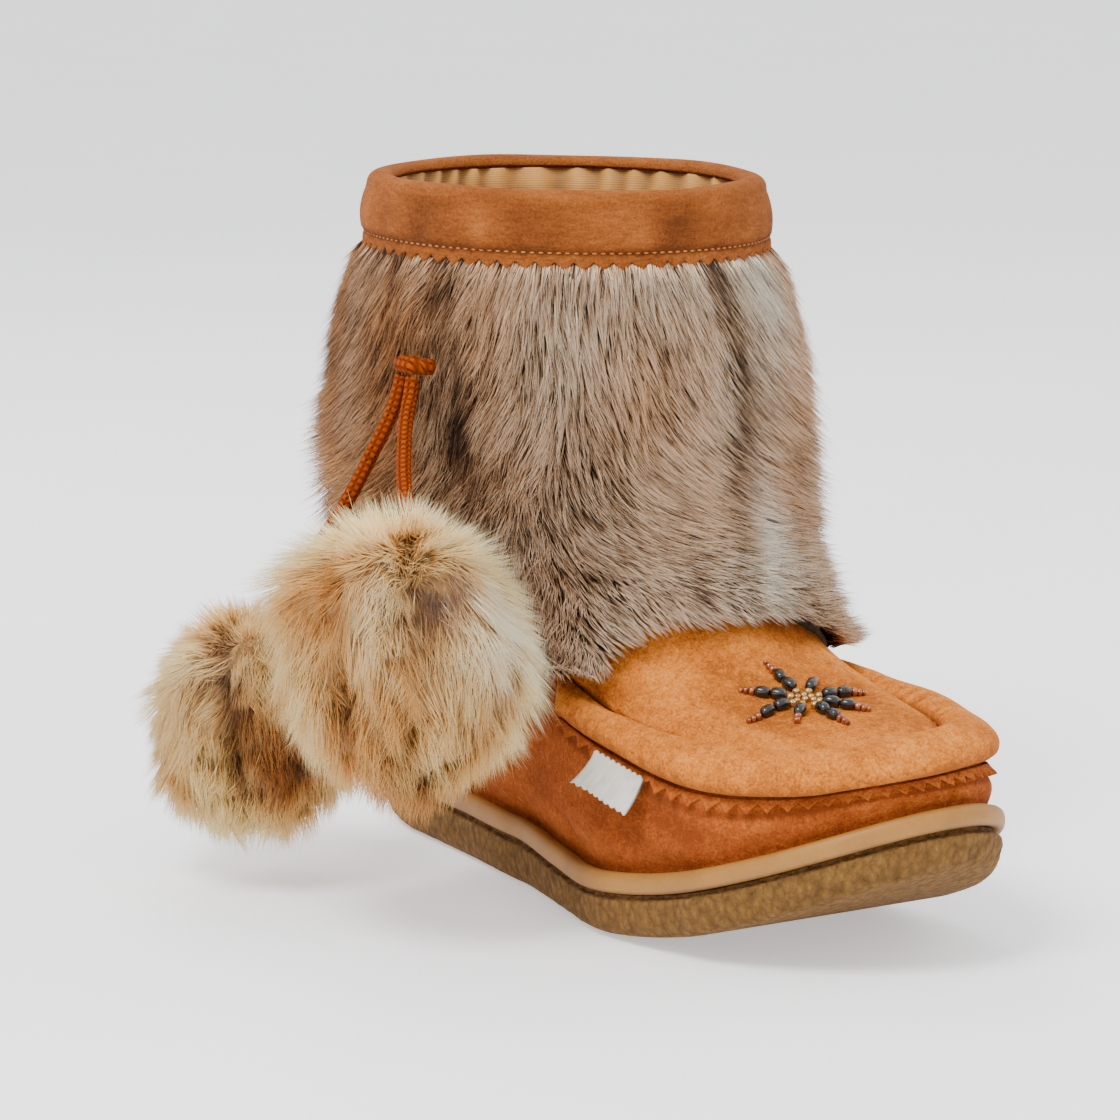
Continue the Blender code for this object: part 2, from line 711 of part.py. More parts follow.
def make_collar_band():
    """The suede band round the collar, folded over the edge, with a pinked lower edge."""
    turns = even_turns(BAND_SPLIT * COLUMNS)
    tooth = np.arange(len(turns)) % 2
    bottom = BOOT_HEIGHT - BAND_HEIGHT
    edge = bottom + PINK_DEPTH * tooth
    stitch = bottom + 2 * PINK_DEPTH
    shoulder = BOOT_HEIGHT - BAND_THICKNESS
    facing = BOOT_HEIGHT - BAND_FACING
    outside, inside = SEAT_GAP, -UPPER_WALL - SEAT_GAP
    rings = [
        band_ring(turns, edge, outside + BAND_THICKNESS),
        band_ring(turns, stitch, outside + BAND_THICKNESS),
        band_ring(turns, (stitch + shoulder) / 2, outside + BAND_THICKNESS * BAND_SWELL),
        band_ring(turns, shoulder, outside + BAND_THICKNESS),
        band_ring(turns, BOOT_HEIGHT, -UPPER_WALL / 2),
        band_ring(turns, shoulder, inside - BAND_THICKNESS),
        band_ring(turns, facing, inside - BAND_THICKNESS),
        band_ring(turns, facing, inside),
        band_ring(turns, shoulder, inside),
        band_ring(turns, shoulder, outside),
        band_ring(turns, edge, outside),
    ]
    builder = bmesh.new()
    add_rings(builder, rings, closed_section=True)
    finish_piece("collar_band", SUEDE, 0.9, builder)


def surface_tree(piece):
    """The faces of a piece, to find where something lies on it."""
    mesh = piece.data
    return BVHTree.FromPolygons(
        [vertex.co for vertex in mesh.vertices], [tuple(face.vertices) for face in mesh.polygons]
    )


def make_bead_star(apron):
    """Eight rays of beads round a knot of beads, sewn on the apron."""
    tree = surface_tree(apron)
    builder = bmesh.new()
    middle_x = SOLE_LENGTH * STAR_ALONG - HEEL_SEAT

    def sewn_at(x, y):
        """A vertex on the apron, at a place measured from the star's middle."""
        above = Vector((middle_x + x, STAR_SIDE + y, BOOT_HEIGHT))
        hit, normal, _, _ = tree.ray_cast(above, Vector((0, 0, -1)))
        return builder.verts.new(hit + normal * 2 * GAP)

    middle = sewn_at(0, 0)
    inner_ring = []
    for ray in range(STAR_RAYS):
        angle = 2 * math.pi * ray / STAR_RAYS
        reach = STAR_RADIUS * (1.0 if ray % 2 == 0 else STAR_SHORT_RAY)
        pairs = []
        for share in STAR_STATIONS:
            pair = []
            for side in (-1, 1):
                along, across = reach * share, side * STAR_RAY_WIDTH / 2
                x = along * math.cos(angle) - across * math.sin(angle)
                y = along * math.sin(angle) + across * math.cos(angle)
                pair.append(sewn_at(x, y))
            pairs.append(pair)
        for near, far in zip(pairs, pairs[1:]):
            builder.faces.new((near[0], far[0], far[1], near[1]))
        inner_ring += pairs[0]
    for i, vertex in enumerate(inner_ring):
        builder.faces.new((middle, vertex, inner_ring[(i + 1) % len(inner_ring)]))
    bmesh.ops.recalc_face_normals(builder, faces=builder.faces)
    if sum(face.normal.z for face in builder.faces) < 0:
        bmesh.ops.reverse_faces(builder, faces=builder.faces)
    bmesh.ops.solidify(builder, geom=builder.faces[:], thickness=-BEAD_HEIGHT)
    finish_piece("bead_star", BEAD_COLOUR, 0.3, builder)


def make_label():
    """The blank woven label that is sewn in under the roll."""
    turns = math.pi * np.array([LABEL_TURNS[0], LABEL_TURNS[1]])
    top = roll_level(turns, "low") - 2 * TRIM_CLEARANCE
    base = 2 * SEAT_GAP + PINK_THICKNESS
    builder = bmesh.new()
    rings = []
    for thick in (0, LABEL_THICKNESS):
        upper_edge = off_upper(turns, top, base + thick)
        middle = off_upper(turns, top - LABEL_DROP / 2, base + LABEL_FLARE * LABEL_BEND + thick)
        lower_edge = off_upper(turns, top - LABEL_DROP, base + LABEL_FLARE + thick)
        rings.append([upper_edge[0], upper_edge[1], middle[1], lower_edge[1], lower_edge[0], middle[0]])
    made = add_rings(builder, rings)
    for ring in made:
        builder.faces.new((ring[0], ring[1], ring[2], ring[5]))
        builder.faces.new((ring[5], ring[2], ring[3], ring[4]))
    finish_piece("side_label", LABEL_COLOUR, 0.8, builder)


def make_cord(name, points):
    """A cord: a round tube along a smooth curve through its points."""
    smooth_points = curve_through(points, CORD_DIAMETER * 1.2)
    curve = bpy.data.curves.new(name, "CURVE")
    curve.dimensions = "3D"
    curve.bevel_depth = CORD_DIAMETER / 2
    curve.bevel_resolution = 2
    curve.use_fill_caps = True
    spline = curve.splines.new("POLY")
    spline.points.add(len(smooth_points) - 1)
    for target, point in zip(spline.points, smooth_points):
        target.co = (*point, 1)
    piece = bpy.data.objects.new(name, curve)
    bpy.context.scene.collection.objects.link(piece)
    paint(piece, CORD_COLOUR, 0.85)


def curve_through(points, step):
    """Points at even steps along a smooth curve through a route."""
    points = np.array(points, float)
    lengths = np.concatenate([[0], np.cumsum(np.linalg.norm(np.diff(points, axis=0), axis=1))])
    count = max(4, int(round(lengths[-1] / step)))
    at = np.linspace(0, lengths[-1], count + 1)
    return np.column_stack([smooth(lengths, points[:, axis], at) for axis in range(3)])


def make_knot():
    """The loop of cord on the fur, pulled into a flat bar."""
    builder = bmesh.new()
    made = bmesh.ops.create_uvsphere(builder, u_segments=12, v_segments=8, radius=1.0)
    for vertex in made["verts"]:
        squared = Vector(math.copysign(abs(value) ** 0.7, value) for value in vertex.co)
        vertex.co = Vector(KNOT_MIDDLE) + Vector(a * b for a, b in zip(squared, KNOT_HALF))
    finish_piece("cord_knot", CORD_COLOUR, 0.85, builder)


def make_pompom(spec):
    """A fur pompom: a round body with a lock drawn out of every face of it."""
    builder = bmesh.new()
    made = bmesh.ops.create_uvsphere(builder, u_segments=14, v_segments=9, radius=1.0)
    middle = Vector(spec.middle)
    half = Vector(spec.half)
    for vertex in made["verts"]:
        vertex.co = middle + Vector(a * b for a, b in zip(vertex.co, half)) * POMPOM_BODY
    bmesh.ops.recalc_face_normals(builder, faces=builder.faces)
    draw_locks(builder, list(builder.faces), POMPOM_LOCK, POMPOM_LEAN)
    finish_piece(spec.name, POMPOM_COLOUR, 0.95, builder)


def clear_scene():
    for item in list(bpy.data.objects):
        bpy.data.objects.remove(item)


def build():
    clear_scene()
    make_outsole()
    make_welt()
    make_upper()
    make_insole()
    make_seam_roll()
    apron = make_apron()
    make_pinked_trim()
    make_fur_cuff()
    make_collar_band()
    make_bead_star(apron)
    make_label()
    make_knot()
    for name, route in CORD_ROUTES.items():
        make_cord(name, route)
    for spec in POMPOMS:
        make_pompom(spec)


if __name__ == "__main__":
    build()
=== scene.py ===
"""A fur mukluk boot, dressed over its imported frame.

Suede, fur, beads, cord and crepe sole are modelled in metres, in the frame's own axes: the toe is along
+X, the wearer's left along +Y, and +Z is up.
"""

import math
from collections import namedtuple

import bmesh
import bpy
import numpy as np
from mathutils import Matrix, Vector
from mathutils.bvhtree import BVHTree


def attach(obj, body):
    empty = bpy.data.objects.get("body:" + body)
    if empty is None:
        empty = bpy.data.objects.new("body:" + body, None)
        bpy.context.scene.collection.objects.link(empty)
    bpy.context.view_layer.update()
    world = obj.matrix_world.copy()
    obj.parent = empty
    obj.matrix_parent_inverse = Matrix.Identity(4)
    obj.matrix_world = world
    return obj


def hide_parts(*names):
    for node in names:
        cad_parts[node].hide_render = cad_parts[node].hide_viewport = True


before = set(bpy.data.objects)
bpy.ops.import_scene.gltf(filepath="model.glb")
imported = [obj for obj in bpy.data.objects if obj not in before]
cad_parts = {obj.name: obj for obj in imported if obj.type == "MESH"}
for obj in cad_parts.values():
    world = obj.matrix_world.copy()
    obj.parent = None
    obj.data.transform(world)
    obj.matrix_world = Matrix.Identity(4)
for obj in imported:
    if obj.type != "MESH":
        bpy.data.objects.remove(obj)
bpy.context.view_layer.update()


def table(columns, *rows):
    """A table of numbers whose rows give each column by its name."""
    row_of = namedtuple("row_of", columns)
    return [row_of(*row) for row in rows]


# The boot's own sizes, in metres
SOLE_LENGTH = 0.270
BALL_WIDTH = 0.100
HEEL_SEAT = 0.036
SOLE_THICKNESS = 0.0195
TOE_SPRING = 0.029
SPRING_START = 0.60
BOTTOM_EDGE_INSET = 0.0055
TOE_UNDERCUT = 1.4
WELT_HEIGHT = 0.0064
WELT_WIDTH = 0.0044
FOOT_HEIGHT = 0.110
BOOT_HEIGHT = 0.2105
SHAFT_CENTRE = 0.0430
SHAFT_SIDE = 0.002
ANKLE_LENGTH = 0.150
ANKLE_WIDTH = 0.104
COLLAR_LENGTH = 0.129
COLLAR_WIDTH = 0.110
UPPER_WALL = 0.0028
APRON_THICKNESS = 0.0014
ROLL_HEIGHT = 0.0082
ROLL_SEAT = 0.0009
PINK_THICKNESS = 0.0013
PINK_DEPTH = 0.0032
BAND_HEIGHT = 0.0235
BAND_THICKNESS = 0.0022
BAND_SHOWN = 0.0042
CORD_DIAMETER = 0.0046
STAR_RADIUS = 0.017
STAR_ALONG = 0.7815
STAR_SIDE = -0.001
LABEL_TURNS = (0.605, 0.665)
LABEL_DROP = 0.80
LABEL_FLARE = 0.006
LABEL_THICKNESS = 0.0009
GAP = 0.0003
SEAT_GAP = 0.0006
APRON_CLEARANCE = 0.07
APRON_TUCK = 0.35
APRON_LEAST = 0.1
TRIM_CLEARANCE = 0.1
FRONT_SPAN = 12 / 52 * 2 * math.pi

# The camera stands where the photograph was taken from
CAMERA_PLACE = (1.162, -0.7065, 0.3276)
CAMERA_AIM = (0.0935, -0.0318, 0.1010)
CAMERA_LENS = 140.0

# The sole's outline. along is a share of SOLE_LENGTH, middle and half are shares of BALL_WIDTH.
OUTLINE = table(
    "along middle half",
    (0.00, 0.000, 0.000),
    (0.03, 0.000, 0.200),
    (0.08, 0.000, 0.285),
    (0.16, -0.003, 0.332),
    (0.30, -0.025, 0.338),
    (0.42, -0.050, 0.345),
    (0.55, -0.048, 0.410),
    (0.68, -0.025, 0.482),
    (0.80, 0.015, 0.475),
    (0.90, 0.038, 0.378),
    (0.96, 0.069, 0.261),
    (1.00, 0.110, 0.000),
)

# The height of the sole's rim over its tread, as shares of SOLE_THICKNESS
RIM = table(
    "along outer inner",
    (0.00, 1.12, 1.05),
    (0.22, 1.10, 1.05),
    (0.42, 1.10, 1.32),
    (0.64, 1.00, 0.98),
    (0.85, 1.02, 1.02),
    (1.00, 1.05, 1.05),
)

# The sole's side from its rim down. inset is a share of BOTTOM_EDGE_INSET, drop one of the height.
SOLE_SIDE = table(
    "inset drop",
    (0.34, 0.00),
    (0.30, 0.07),
    (0.02, 0.12),
    (0.00, 0.25),
    (0.05, 0.45),
    (0.12, 0.60),
    (0.26, 0.76),
    (0.45, 0.88),
    (0.70, 0.96),
    (1.00, 1.00),
)

# The welt's section. inset is a share of WELT_WIDTH, rise one of WELT_HEIGHT.
WELT_SECTION = table(
    "inset rise",
    (1.00, 0.00),
    (0.60, 0.00),
    (0.16, 0.02),
    (-0.04, 0.09),
    (-0.15, 0.22),
    (-0.20, 0.40),
    (-0.20, 0.58),
    (-0.14, 0.76),
    (-0.02, 0.90),
    (0.18, 0.98),
    (0.45, 0.98),
    (0.80, 0.88),
    (1.00, 0.84),
)

# The rings of the foot. Heights at the four stations go from the sole's rim, 0, to FOOT_HEIGHT, 1.
FOOT_STATIONS = (0.00, 0.45, 0.75, 1.00)
FOOT_RINGS = table(
    "back front half foot swing taper heel waist ball toe lean",
    (0.013, 0.984, 0.478, 0.95, 0.90, 0.00, 0.186, 0.174, 0.109, 0.079, 0.010),
    (0.013, 0.977, 0.468, 0.80, 0.60, 0.00, 0.344, 0.344, 0.268, 0.159, 0.025),
    (0.015, 0.958, 0.438, 0.60, 0.30, 0.00, 0.490, 0.477, 0.383, 0.213, 0.035),
    (0.016, 0.915, 0.385, 0.50, 0.20, 0.02, 0.611, 0.599, 0.440, 0.222, 0.035),
    (0.018, 0.830, 0.368, 0.45, 0.15, 0.10, 0.720, 0.708, 0.529, 0.258, 0.030),
    (0.020, 0.720, 0.425, 0.30, 0.10, 0.16, 0.818, 0.806, 0.663, 0.383, 0.020),
    (0.020, 0.637, 0.485, 0.10, 0.00, 0.10, 0.915, 0.903, 0.822, 0.642, 0.010),
)

# The rings of the shaft. length and width go from the ankle's, 0, to the collar's, 1.
SHAFT_RINGS = table(
    "climb length width",
    (0.02, 0.00, 0.00),
    (0.35, 0.30, 1.30),
    (0.70, 0.60, 1.60),
    (1.00, 1.00, 1.00),
)
LEVELS = 2 + len(FOOT_RINGS) + len(SHAFT_RINGS)
TOP = float(LEVELS - 1)

# The seam roll and the tips of the trim, in ring levels. turn is the share from heel to toe.
ROLL_PLACE = table(
    "turn tips low high",
    (0.50, 3.80, 4.10, 5.30),
    (0.60, 3.50, 3.90, 5.15),
    (0.69, 3.10, 3.50, 4.85),
    (0.78, 2.60, 3.05, 4.50),
    (0.86, 2.35, 2.80, 4.35),
    (1.00, 2.30, 2.85, 4.55),
)

# The seam roll's section. across is a share of its width, height one of ROLL_HEIGHT.
ROLL_SECTION = table(
    "across height",
    (0.02, 0.00),
    (-0.02, 0.22),
    (-0.02, 0.48),
    (0.04, 0.72),
    (0.14, 0.88),
    (0.28, 0.98),
    (0.44, 1.00),
    (0.60, 0.93),
    (0.76, 0.76),
    (0.90, 0.50),
    (0.99, 0.22),
    (1.00, 0.02),
)

# The fur's lower edge on each side, in ring levels, as the part has it
FUR_HEM = table(
    "turn outer inner",
    (0.00, 2.50, 2.50),
    (0.25, 2.80, 2.50),
    (0.40, 3.60, 2.90),
    (0.49, 4.50, 3.80),
    (0.58, 5.25, 4.80),
    (0.69, 6.50, 6.00),
    (0.79, 7.30, 6.85),
    (0.88, 7.65, 7.45),
    (1.00, 7.65, 7.65),
)

# How far the hairs' tips stand off the suede on their way up, in metres
FUR_TIPS = table(
    "climb reach",
    (0.00, 0.0080),
    (0.20, 0.0140),
    (0.50, 0.0155),
    (0.75, 0.0125),
    (1.00, 0.0060),
)

# Patches of the coat that are darker or paler than the rest. turn is a share of a full turn from the
# heel over the little toe's side, height is in metres, and wide and high are how far each reaches.
COAT_PATCHES = table(
    "turn height wide high tone warmth pale",
    (0.140, 0.130, 0.120, 0.090, -0.34, 0.75, 0.00),
    (0.265, 0.135, 0.030, 0.035, -0.16, 0.25, 0.00),
    (0.302, 0.176, 0.016, 0.010, -0.42, 0.10, 0.00),
    # A painted shadow: the dark slit beside the cord, where the fur parts
    (0.324, 0.138, 0.009, 0.020, -0.75, 0.00, 0.00),
    (0.410, 0.176, 0.080, 0.014, 0.10, 0.00, 0.00),
    (0.450, 0.150, 0.045, 0.030, 0.08, 0.00, 0.00),
    (0.350, 0.108, 0.045, 0.018, -0.14, 0.10, 0.00),
    (0.395, 0.090, 0.010, 0.004, -0.34, 0.00, 0.00),
    (0.519, 0.150, 0.009, 0.040, -0.62, 0.00, 0.00),
    (0.562, 0.176, 0.022, 0.012, 0.12, -0.40, 0.35),
    (0.530, 0.100, 0.010, 0.018, 0.30, -0.30, 0.75),
    (0.600, 0.130, 0.050, 0.050, -0.26, 0.15, 0.00),
    (0.800, 0.130, 0.110, 0.080, -0.22, 0.55, 0.00),
)

# Where the hairs lean round the boot instead of straight down. A positive lean takes the tips to smaller
# turns, which is towards the heel on the little toe's side.
FLOWS = table(
    "turn height wide high lean",
    (0.470, 0.112, 0.040, 0.022, -0.75),
    (0.400, 0.100, 0.040, 0.020, -0.45),
    (0.430, 0.150, 0.040, 0.020, -0.18),
    (0.300, 0.168, 0.030, 0.012, 0.35),
    (0.560, 0.110, 0.020, 0.030, 0.25),
    (0.200, 0.090, 0.060, 0.030, 0.25),
    (0.640, 0.090, 0.050, 0.030, 0.45),
)

# Soft troughs and ridges of the suede. Each runs from one turn and level to another,
# bowed sideways by bow levels, width metres wide and depth metres deep. Turns are shares of a full
# turn from the heel, over the little toe's side.
FOOT_CREASES = table(
    "turn_a level_a turn_b level_b bow width depth",
    (0.500, 0.6, 0.500, 2.3, 0.00, 0.0011, 0.0011),
    (0.300, 2.2, 0.345, 1.5, 0.15, 0.0050, 0.0012),
    (0.318, 2.9, 0.372, 1.9, 0.20, 0.0045, 0.0010),
    (0.255, 2.0, 0.285, 1.3, 0.10, 0.0050, 0.0009),
    (0.352, 2.4, 0.398, 1.6, -0.10, 0.0040, 0.0008),
    (0.405, 1.9, 0.440, 1.4, 0.10, 0.0035, 0.0005),
    (0.455, 1.9, 0.470, 1.2, 0.05, 0.0030, 0.0005),
    (0.528, 1.9, 0.545, 1.2, 0.05, 0.0030, 0.0005),
    (0.585, 2.3, 0.620, 1.6, 0.10, 0.0040, 0.0008),
    (0.640, 2.9, 0.690, 1.8, 0.15, 0.0045, 0.0011),
    (0.700, 2.4, 0.735, 1.5, 0.10, 0.0050, 0.0010),
    (0.330, 3.3, 0.372, 2.8, 0.10, 0.0050, -0.0008),
    (0.655, 3.3, 0.610, 2.6, 0.10, 0.0050, -0.0008),
)
APRON_CREASES = table(
    "turn_a level_a turn_b level_b bow width depth",
    (0.405, 6.6, 0.440, 5.2, 0.20, 0.0050, 0.0009),
    (0.430, 7.4, 0.470, 6.4, 0.15, 0.0060, 0.0010),
    (0.560, 7.2, 0.535, 6.2, 0.15, 0.0060, 0.0009),
    (0.585, 6.6, 0.570, 5.4, 0.15, 0.0050, 0.0008),
    (0.480, 7.6, 0.520, 7.4, 0.10, 0.0050, -0.0008),
)

# Patches of the pompoms that are darker or paler than the rest. way is where a patch lies, seen from the
# pompom's middle, and wide is how far it reaches on a ball of radius 1.
FRONT_PATCHES = table(
    "way wide tone warmth pale",
    ((0.86, -0.08, 0.50), 0.26, -0.34, 0.5, 0.0),
    ((0.08, -0.91, 0.40), 0.30, -0.22, 0.4, 0.0),
    ((0.93, 0.36, 0.20), 0.45, 0.20, -0.4, 0.7),
    # The wide darker, warmer patch on the underside is painted shade
    ((0.50, -0.30, -0.95), 0.75, -0.26, 0.5, 0.0),
    ((0.70, -0.60, 0.40), 0.40, 0.10, 0.0, 0.15),
)
BACK_PATCHES = table(
    "way wide tone warmth pale",
    ((0.30, -0.80, 0.60), 0.45, 0.12, -0.2, 0.2),
    ((0.75, -0.30, 0.55), 0.40, -0.10, -0.4, 0.0),
    ((0.90, -0.30, -0.40), 0.50, -0.24, 0.6, 0.0),
)

# The pompoms. grooves counts the grooves between the lobes, first turns them, shade darkens the whole, and
# bulge is how far it swells towards BULGE_WAY.
POMPOMS = table(
    "name middle half grooves first seed shade bulge patches",
    (
        "pompom_front", (0.1170, -0.0985, 0.0825), (0.0455, 0.0395, 0.0440),
        7, 0.40, 21, 0.0, 0.22, FRONT_PATCHES,
    ),
    (
        "pompom_back", (0.0300, -0.1010, 0.0480), (0.0385, 0.0350, 0.0365),
        5, 0.75, 22, 0.12, 0.0, BACK_PATCHES,
    ),
)

# The knot and the routes of the two cords, as in the part
KNOT_MIDDLE = (0.0668, -0.0673, 0.1583)
KNOT_HALF = (0.0068, 0.0026, 0.0028)
CORD_ROUTES = {
    "cord_front": (
        (0.0698, -0.0678, 0.1550),
        (0.0708, -0.0695, 0.1490),
        (0.0760, -0.0740, 0.1420),
        (0.0845, -0.0795, 0.1350),
        (0.0930, -0.0845, 0.1290),
        (0.1025, -0.0890, 0.1222),
        (0.1085, -0.0908, 0.1105),
    ),
    "cord_back": (
        (0.0638, -0.0678, 0.1550),
        (0.0634, -0.0705, 0.1460),
        (0.0615, -0.0772, 0.1320),
        (0.0570, -0.0850, 0.1150),
        (0.0490, -0.0920, 0.1000),
        (0.0395, -0.0975, 0.0828),
        (0.0345, -0.0993, 0.0715),
    ),
}


# Smooth tables
def smooth(keys, values, at):
    """Reads a table's column as a smooth curve that never overshoots its points."""
    keys = np.asarray(keys, float)
    values = np.asarray(values, float)
    step = np.diff(keys)
    rise = np.diff(values) / step
    slopes = np.zeros(len(values))
    slopes[0], slopes[-1] = rise[0], rise[-1]
    for i in range(1, len(values) - 1):
        if rise[i - 1] * rise[i] > 0:
            before = 2 * step[i] + step[i - 1]
            after = step[i] + 2 * step[i - 1]
            slopes[i] = (before + after) / (before / rise[i - 1] + after / rise[i])
    at = np.clip(np.asarray(at, float), keys[0], keys[-1])
    i = np.clip(np.searchsorted(keys, at, side="right") - 1, 0, len(keys) - 2)
    t = (at - keys[i]) / step[i]
    return (
        values[i] * (1 + 2 * t) * (1 - t) ** 2
        + slopes[i] * step[i] * t * (1 - t) ** 2
        + values[i + 1] * t**2 * (3 - 2 * t)
        + slopes[i + 1] * step[i] * t**2 * (t - 1)
    )


def column(table, name):
    return [getattr(row, name) for row in table]


def read(rows, key, name, at):
    """One column of a table, read at places along another."""
    return smooth(column(rows, key), column(rows, name), at)


def ease(value, low, high):
    """0 below low, 1 above high, and a soft step between them."""
    t = np.clip((value - low) / (high - low), 0, 1)
    return t * t * (3 - 2 * t)


def bell(distance, width):
    return np.exp(-((distance / width) ** 2))


RIPPLE_WAVES = 9


def ripple(points, size, seed):
    """Smooth unevenness from about -1 to 1, with bumps of about a size."""
    points = np.asarray(points, float)
    chance = np.random.default_rng(seed)
    total = np.zeros(points.shape[:-1])
    for _ in range(RIPPLE_WAVES):
        way = chance.normal(size=points.shape[-1])
        way *= 2 * math.pi / size * chance.uniform(0.5, 1.1) / np.linalg.norm(way)
        total += np.sin(points @ way + chance.uniform(0, 2 * math.pi))
    return total / 3.2


# The boot's outer face: points and directions at turns round it and levels up it
def round_turns(count):
    return np.linspace(0, 2 * math.pi, count, endpoint=False)


def to_toe(turns):
    turns = np.mod(turns, 2 * math.pi)
    return np.minimum(turns, 2 * math.pi - turns)


def outer_side(turns):
    share = np.clip(0.5 + 0.9 * np.sin(turns), 0, 1)
    return share * share * (3 - 2 * share)


def between_sides(rows, key, at, share):
    """A table's outer and inner columns, mixed by the share of the outer side."""
    return read(rows, key, "outer", at) * share + read(rows, key, "inner", at) * (1 - share)


def outline_shares(angle):
    keys = np.arccos(1 - 2 * np.array(column(OUTLINE, "along")))
    return smooth(keys, column(OUTLINE, "middle"), angle), smooth(keys, column(OUTLINE, "half"), angle)


def outline(turns):
    """The sole's rim in plan."""
    angle = to_toe(turns)
    middle, half = outline_shares(angle)
    x = SOLE_LENGTH * (1 - np.cos(angle)) / 2 - HEEL_SEAT
    side = np.where(np.sin(turns) >= 0, -1.0, 1.0)
    return np.stack([x, BALL_WIDTH * (middle + side * half)], -1)


def inset_outline(turns, inset):
    step = 0.04
    along = outline(turns + step) - outline(turns - step)
    along /= np.linalg.norm(along, axis=-1, keepdims=True)
    inwards = np.stack([-along[..., 1], along[..., 0]], -1)
    return outline(turns) + inwards * np.broadcast_to(inset, np.shape(turns))[..., None]


def share_along(x):
    return np.clip((x + HEEL_SEAT) / SOLE_LENGTH, 0, 1)


def tread_height(x):
    return TOE_SPRING * np.clip((share_along(x) - SPRING_START) / (1 - SPRING_START), 0, 1) ** 2


def rim_height(turns):
    x = outline(turns)[..., 0]
    along = share_along(x)
    return tread_height(x) + SOLE_THICKNESS * between_sides(RIM, "along", along, outer_side(turns))


def ledge_height(turns):
    return rim_height(turns) - WELT_HEIGHT


def sole_ring(turns, inset, height):
    return np.column_stack([inset_outline(turns, inset), np.broadcast_to(height, np.shape(turns))])


def foot_ring(row, turns):
    angle = to_toe(turns)
    reach = (1 - np.cos(angle)) / 2
    x = SOLE_LENGTH * (row.back + (row.front - row.back) * reach) - HEEL_SEAT
    middle, half = outline_shares(angle)
    widest = max(column(OUTLINE, "half"))
    shape = row.foot * half / widest + (1 - row.foot) * np.sin(angle)
    side = np.where(np.sin(turns) >= 0, -1.0, 1.0)
    width = row.half * shape * (1 + row.taper * np.cos(angle))
    y = BALL_WIDTH * (row.swing * middle + side * width)
    stations = np.array(FOOT_STATIONS)
    rim = SOLE_THICKNESS + tread_height(SOLE_LENGTH * stations - HEEL_SEAT)
    heights = rim + (FOOT_HEIGHT - rim) * np.array((row.heel, row.waist, row.ball, row.toe))
    z = smooth(stations, heights, reach) + FOOT_HEIGHT * row.lean * np.sin(angle) * reach * side
    return np.column_stack([x, y, z])


def shaft_ring(row, turns):
    length = ANKLE_LENGTH + (COLLAR_LENGTH - ANKLE_LENGTH) * row.length
    width = ANKLE_WIDTH + (COLLAR_WIDTH - ANKLE_WIDTH) * row.width
    z = FOOT_HEIGHT + (BOOT_HEIGHT - BAND_THICKNESS - GAP - FOOT_HEIGHT) * row.climb
    x = SHAFT_CENTRE - np.cos(turns) * length / 2
    y = SHAFT_SIDE - np.sin(turns) * width / 2
    return np.column_stack([x, y, np.full(len(turns), z)])


# The fine grid of the outer face: its turns and levels, and how many points away a slope is read
TABLE_TURNS = 1041
TABLE_LEVELS = 361
SLOPE_REACH = 4


def outer_face():
    """The outer face on a fine grid of levels and turns: points, directions out, and the length up."""
    turns = np.linspace(0, 2 * math.pi, TABLE_TURNS)
    inside_welt = WELT_WIDTH + GAP
    rings = [
        sole_ring(turns, inside_welt, ledge_height(turns) + GAP),
        sole_ring(turns, inside_welt, rim_height(turns) + GAP),
    ]
    rings += [foot_ring(row, turns) for row in FOOT_RINGS]
    rings += [shaft_ring(row, turns) for row in SHAFT_RINGS]
    rings = np.array(rings)
    rise = np.diff(rings, axis=0)
    product = rise[:-1] * rise[1:]
    total = rise[:-1] + rise[1:]
    inner = np.where(product > 0, 2 * product / np.where(product > 0, total, 1), 0)
    slopes = np.concatenate([rise[:1], inner, rise[-1:]])
    levels = np.linspace(0, TOP, TABLE_LEVELS)
    i = np.minimum(levels.astype(int), LEVELS - 2)
    t = (levels - i)[:, None, None]
    points = (
        rings[i] * (1 + 2 * t) * (1 - t) ** 2
        + slopes[i] * t * (1 - t) ** 2
        + rings[i + 1] * t**2 * (3 - 2 * t)
        + slopes[i + 1] * t**2 * (t - 1)
    )
    wide = SLOPE_REACH
    padded_round = np.concatenate([points[:, -1 - wide:-1], points, points[:, 1:1 + wide]], axis=1)
    across = padded_round[:, 2 * wide:] - padded_round[:, :-2 * wide]
    padded_up = np.concatenate([points[:1]] * wide + [points] + [points[-1:]] * wide)
    up = padded_up[2 * wide:] - padded_up[:-2 * wide]
    up[:wide] = up[wide]
    up[-wide:] = up[-wide - 1]
    normals = np.cross(across, up)
    normals /= np.linalg.norm(normals, axis=-1, keepdims=True)
    climb = np.linalg.norm(np.diff(points, axis=0), axis=-1, keepdims=True)
    climb = np.concatenate([np.zeros_like(climb[:1]), np.cumsum(climb, axis=0)])
    return np.concatenate([points, normals, climb], axis=-1)


FACE = outer_face()


def rounded_off(face, reach):
    """A copy of the fine grid with its bends rounded off over a number of its rows either way."""
    wide = np.pad(face, ((reach, reach), (0, 0), (0, 0)), "reflect", reflect_type="odd")
    total = np.zeros_like(face)
    for row in range(2 * reach + 1):
        weight = (reach + 1 - abs(row - reach)) / (reach + 1) ** 2
        total += weight * wide[row : row + len(face)]
    return total


COAT_ROUNDING = 46
COAT_FACE = rounded_off(FACE, COAT_ROUNDING)


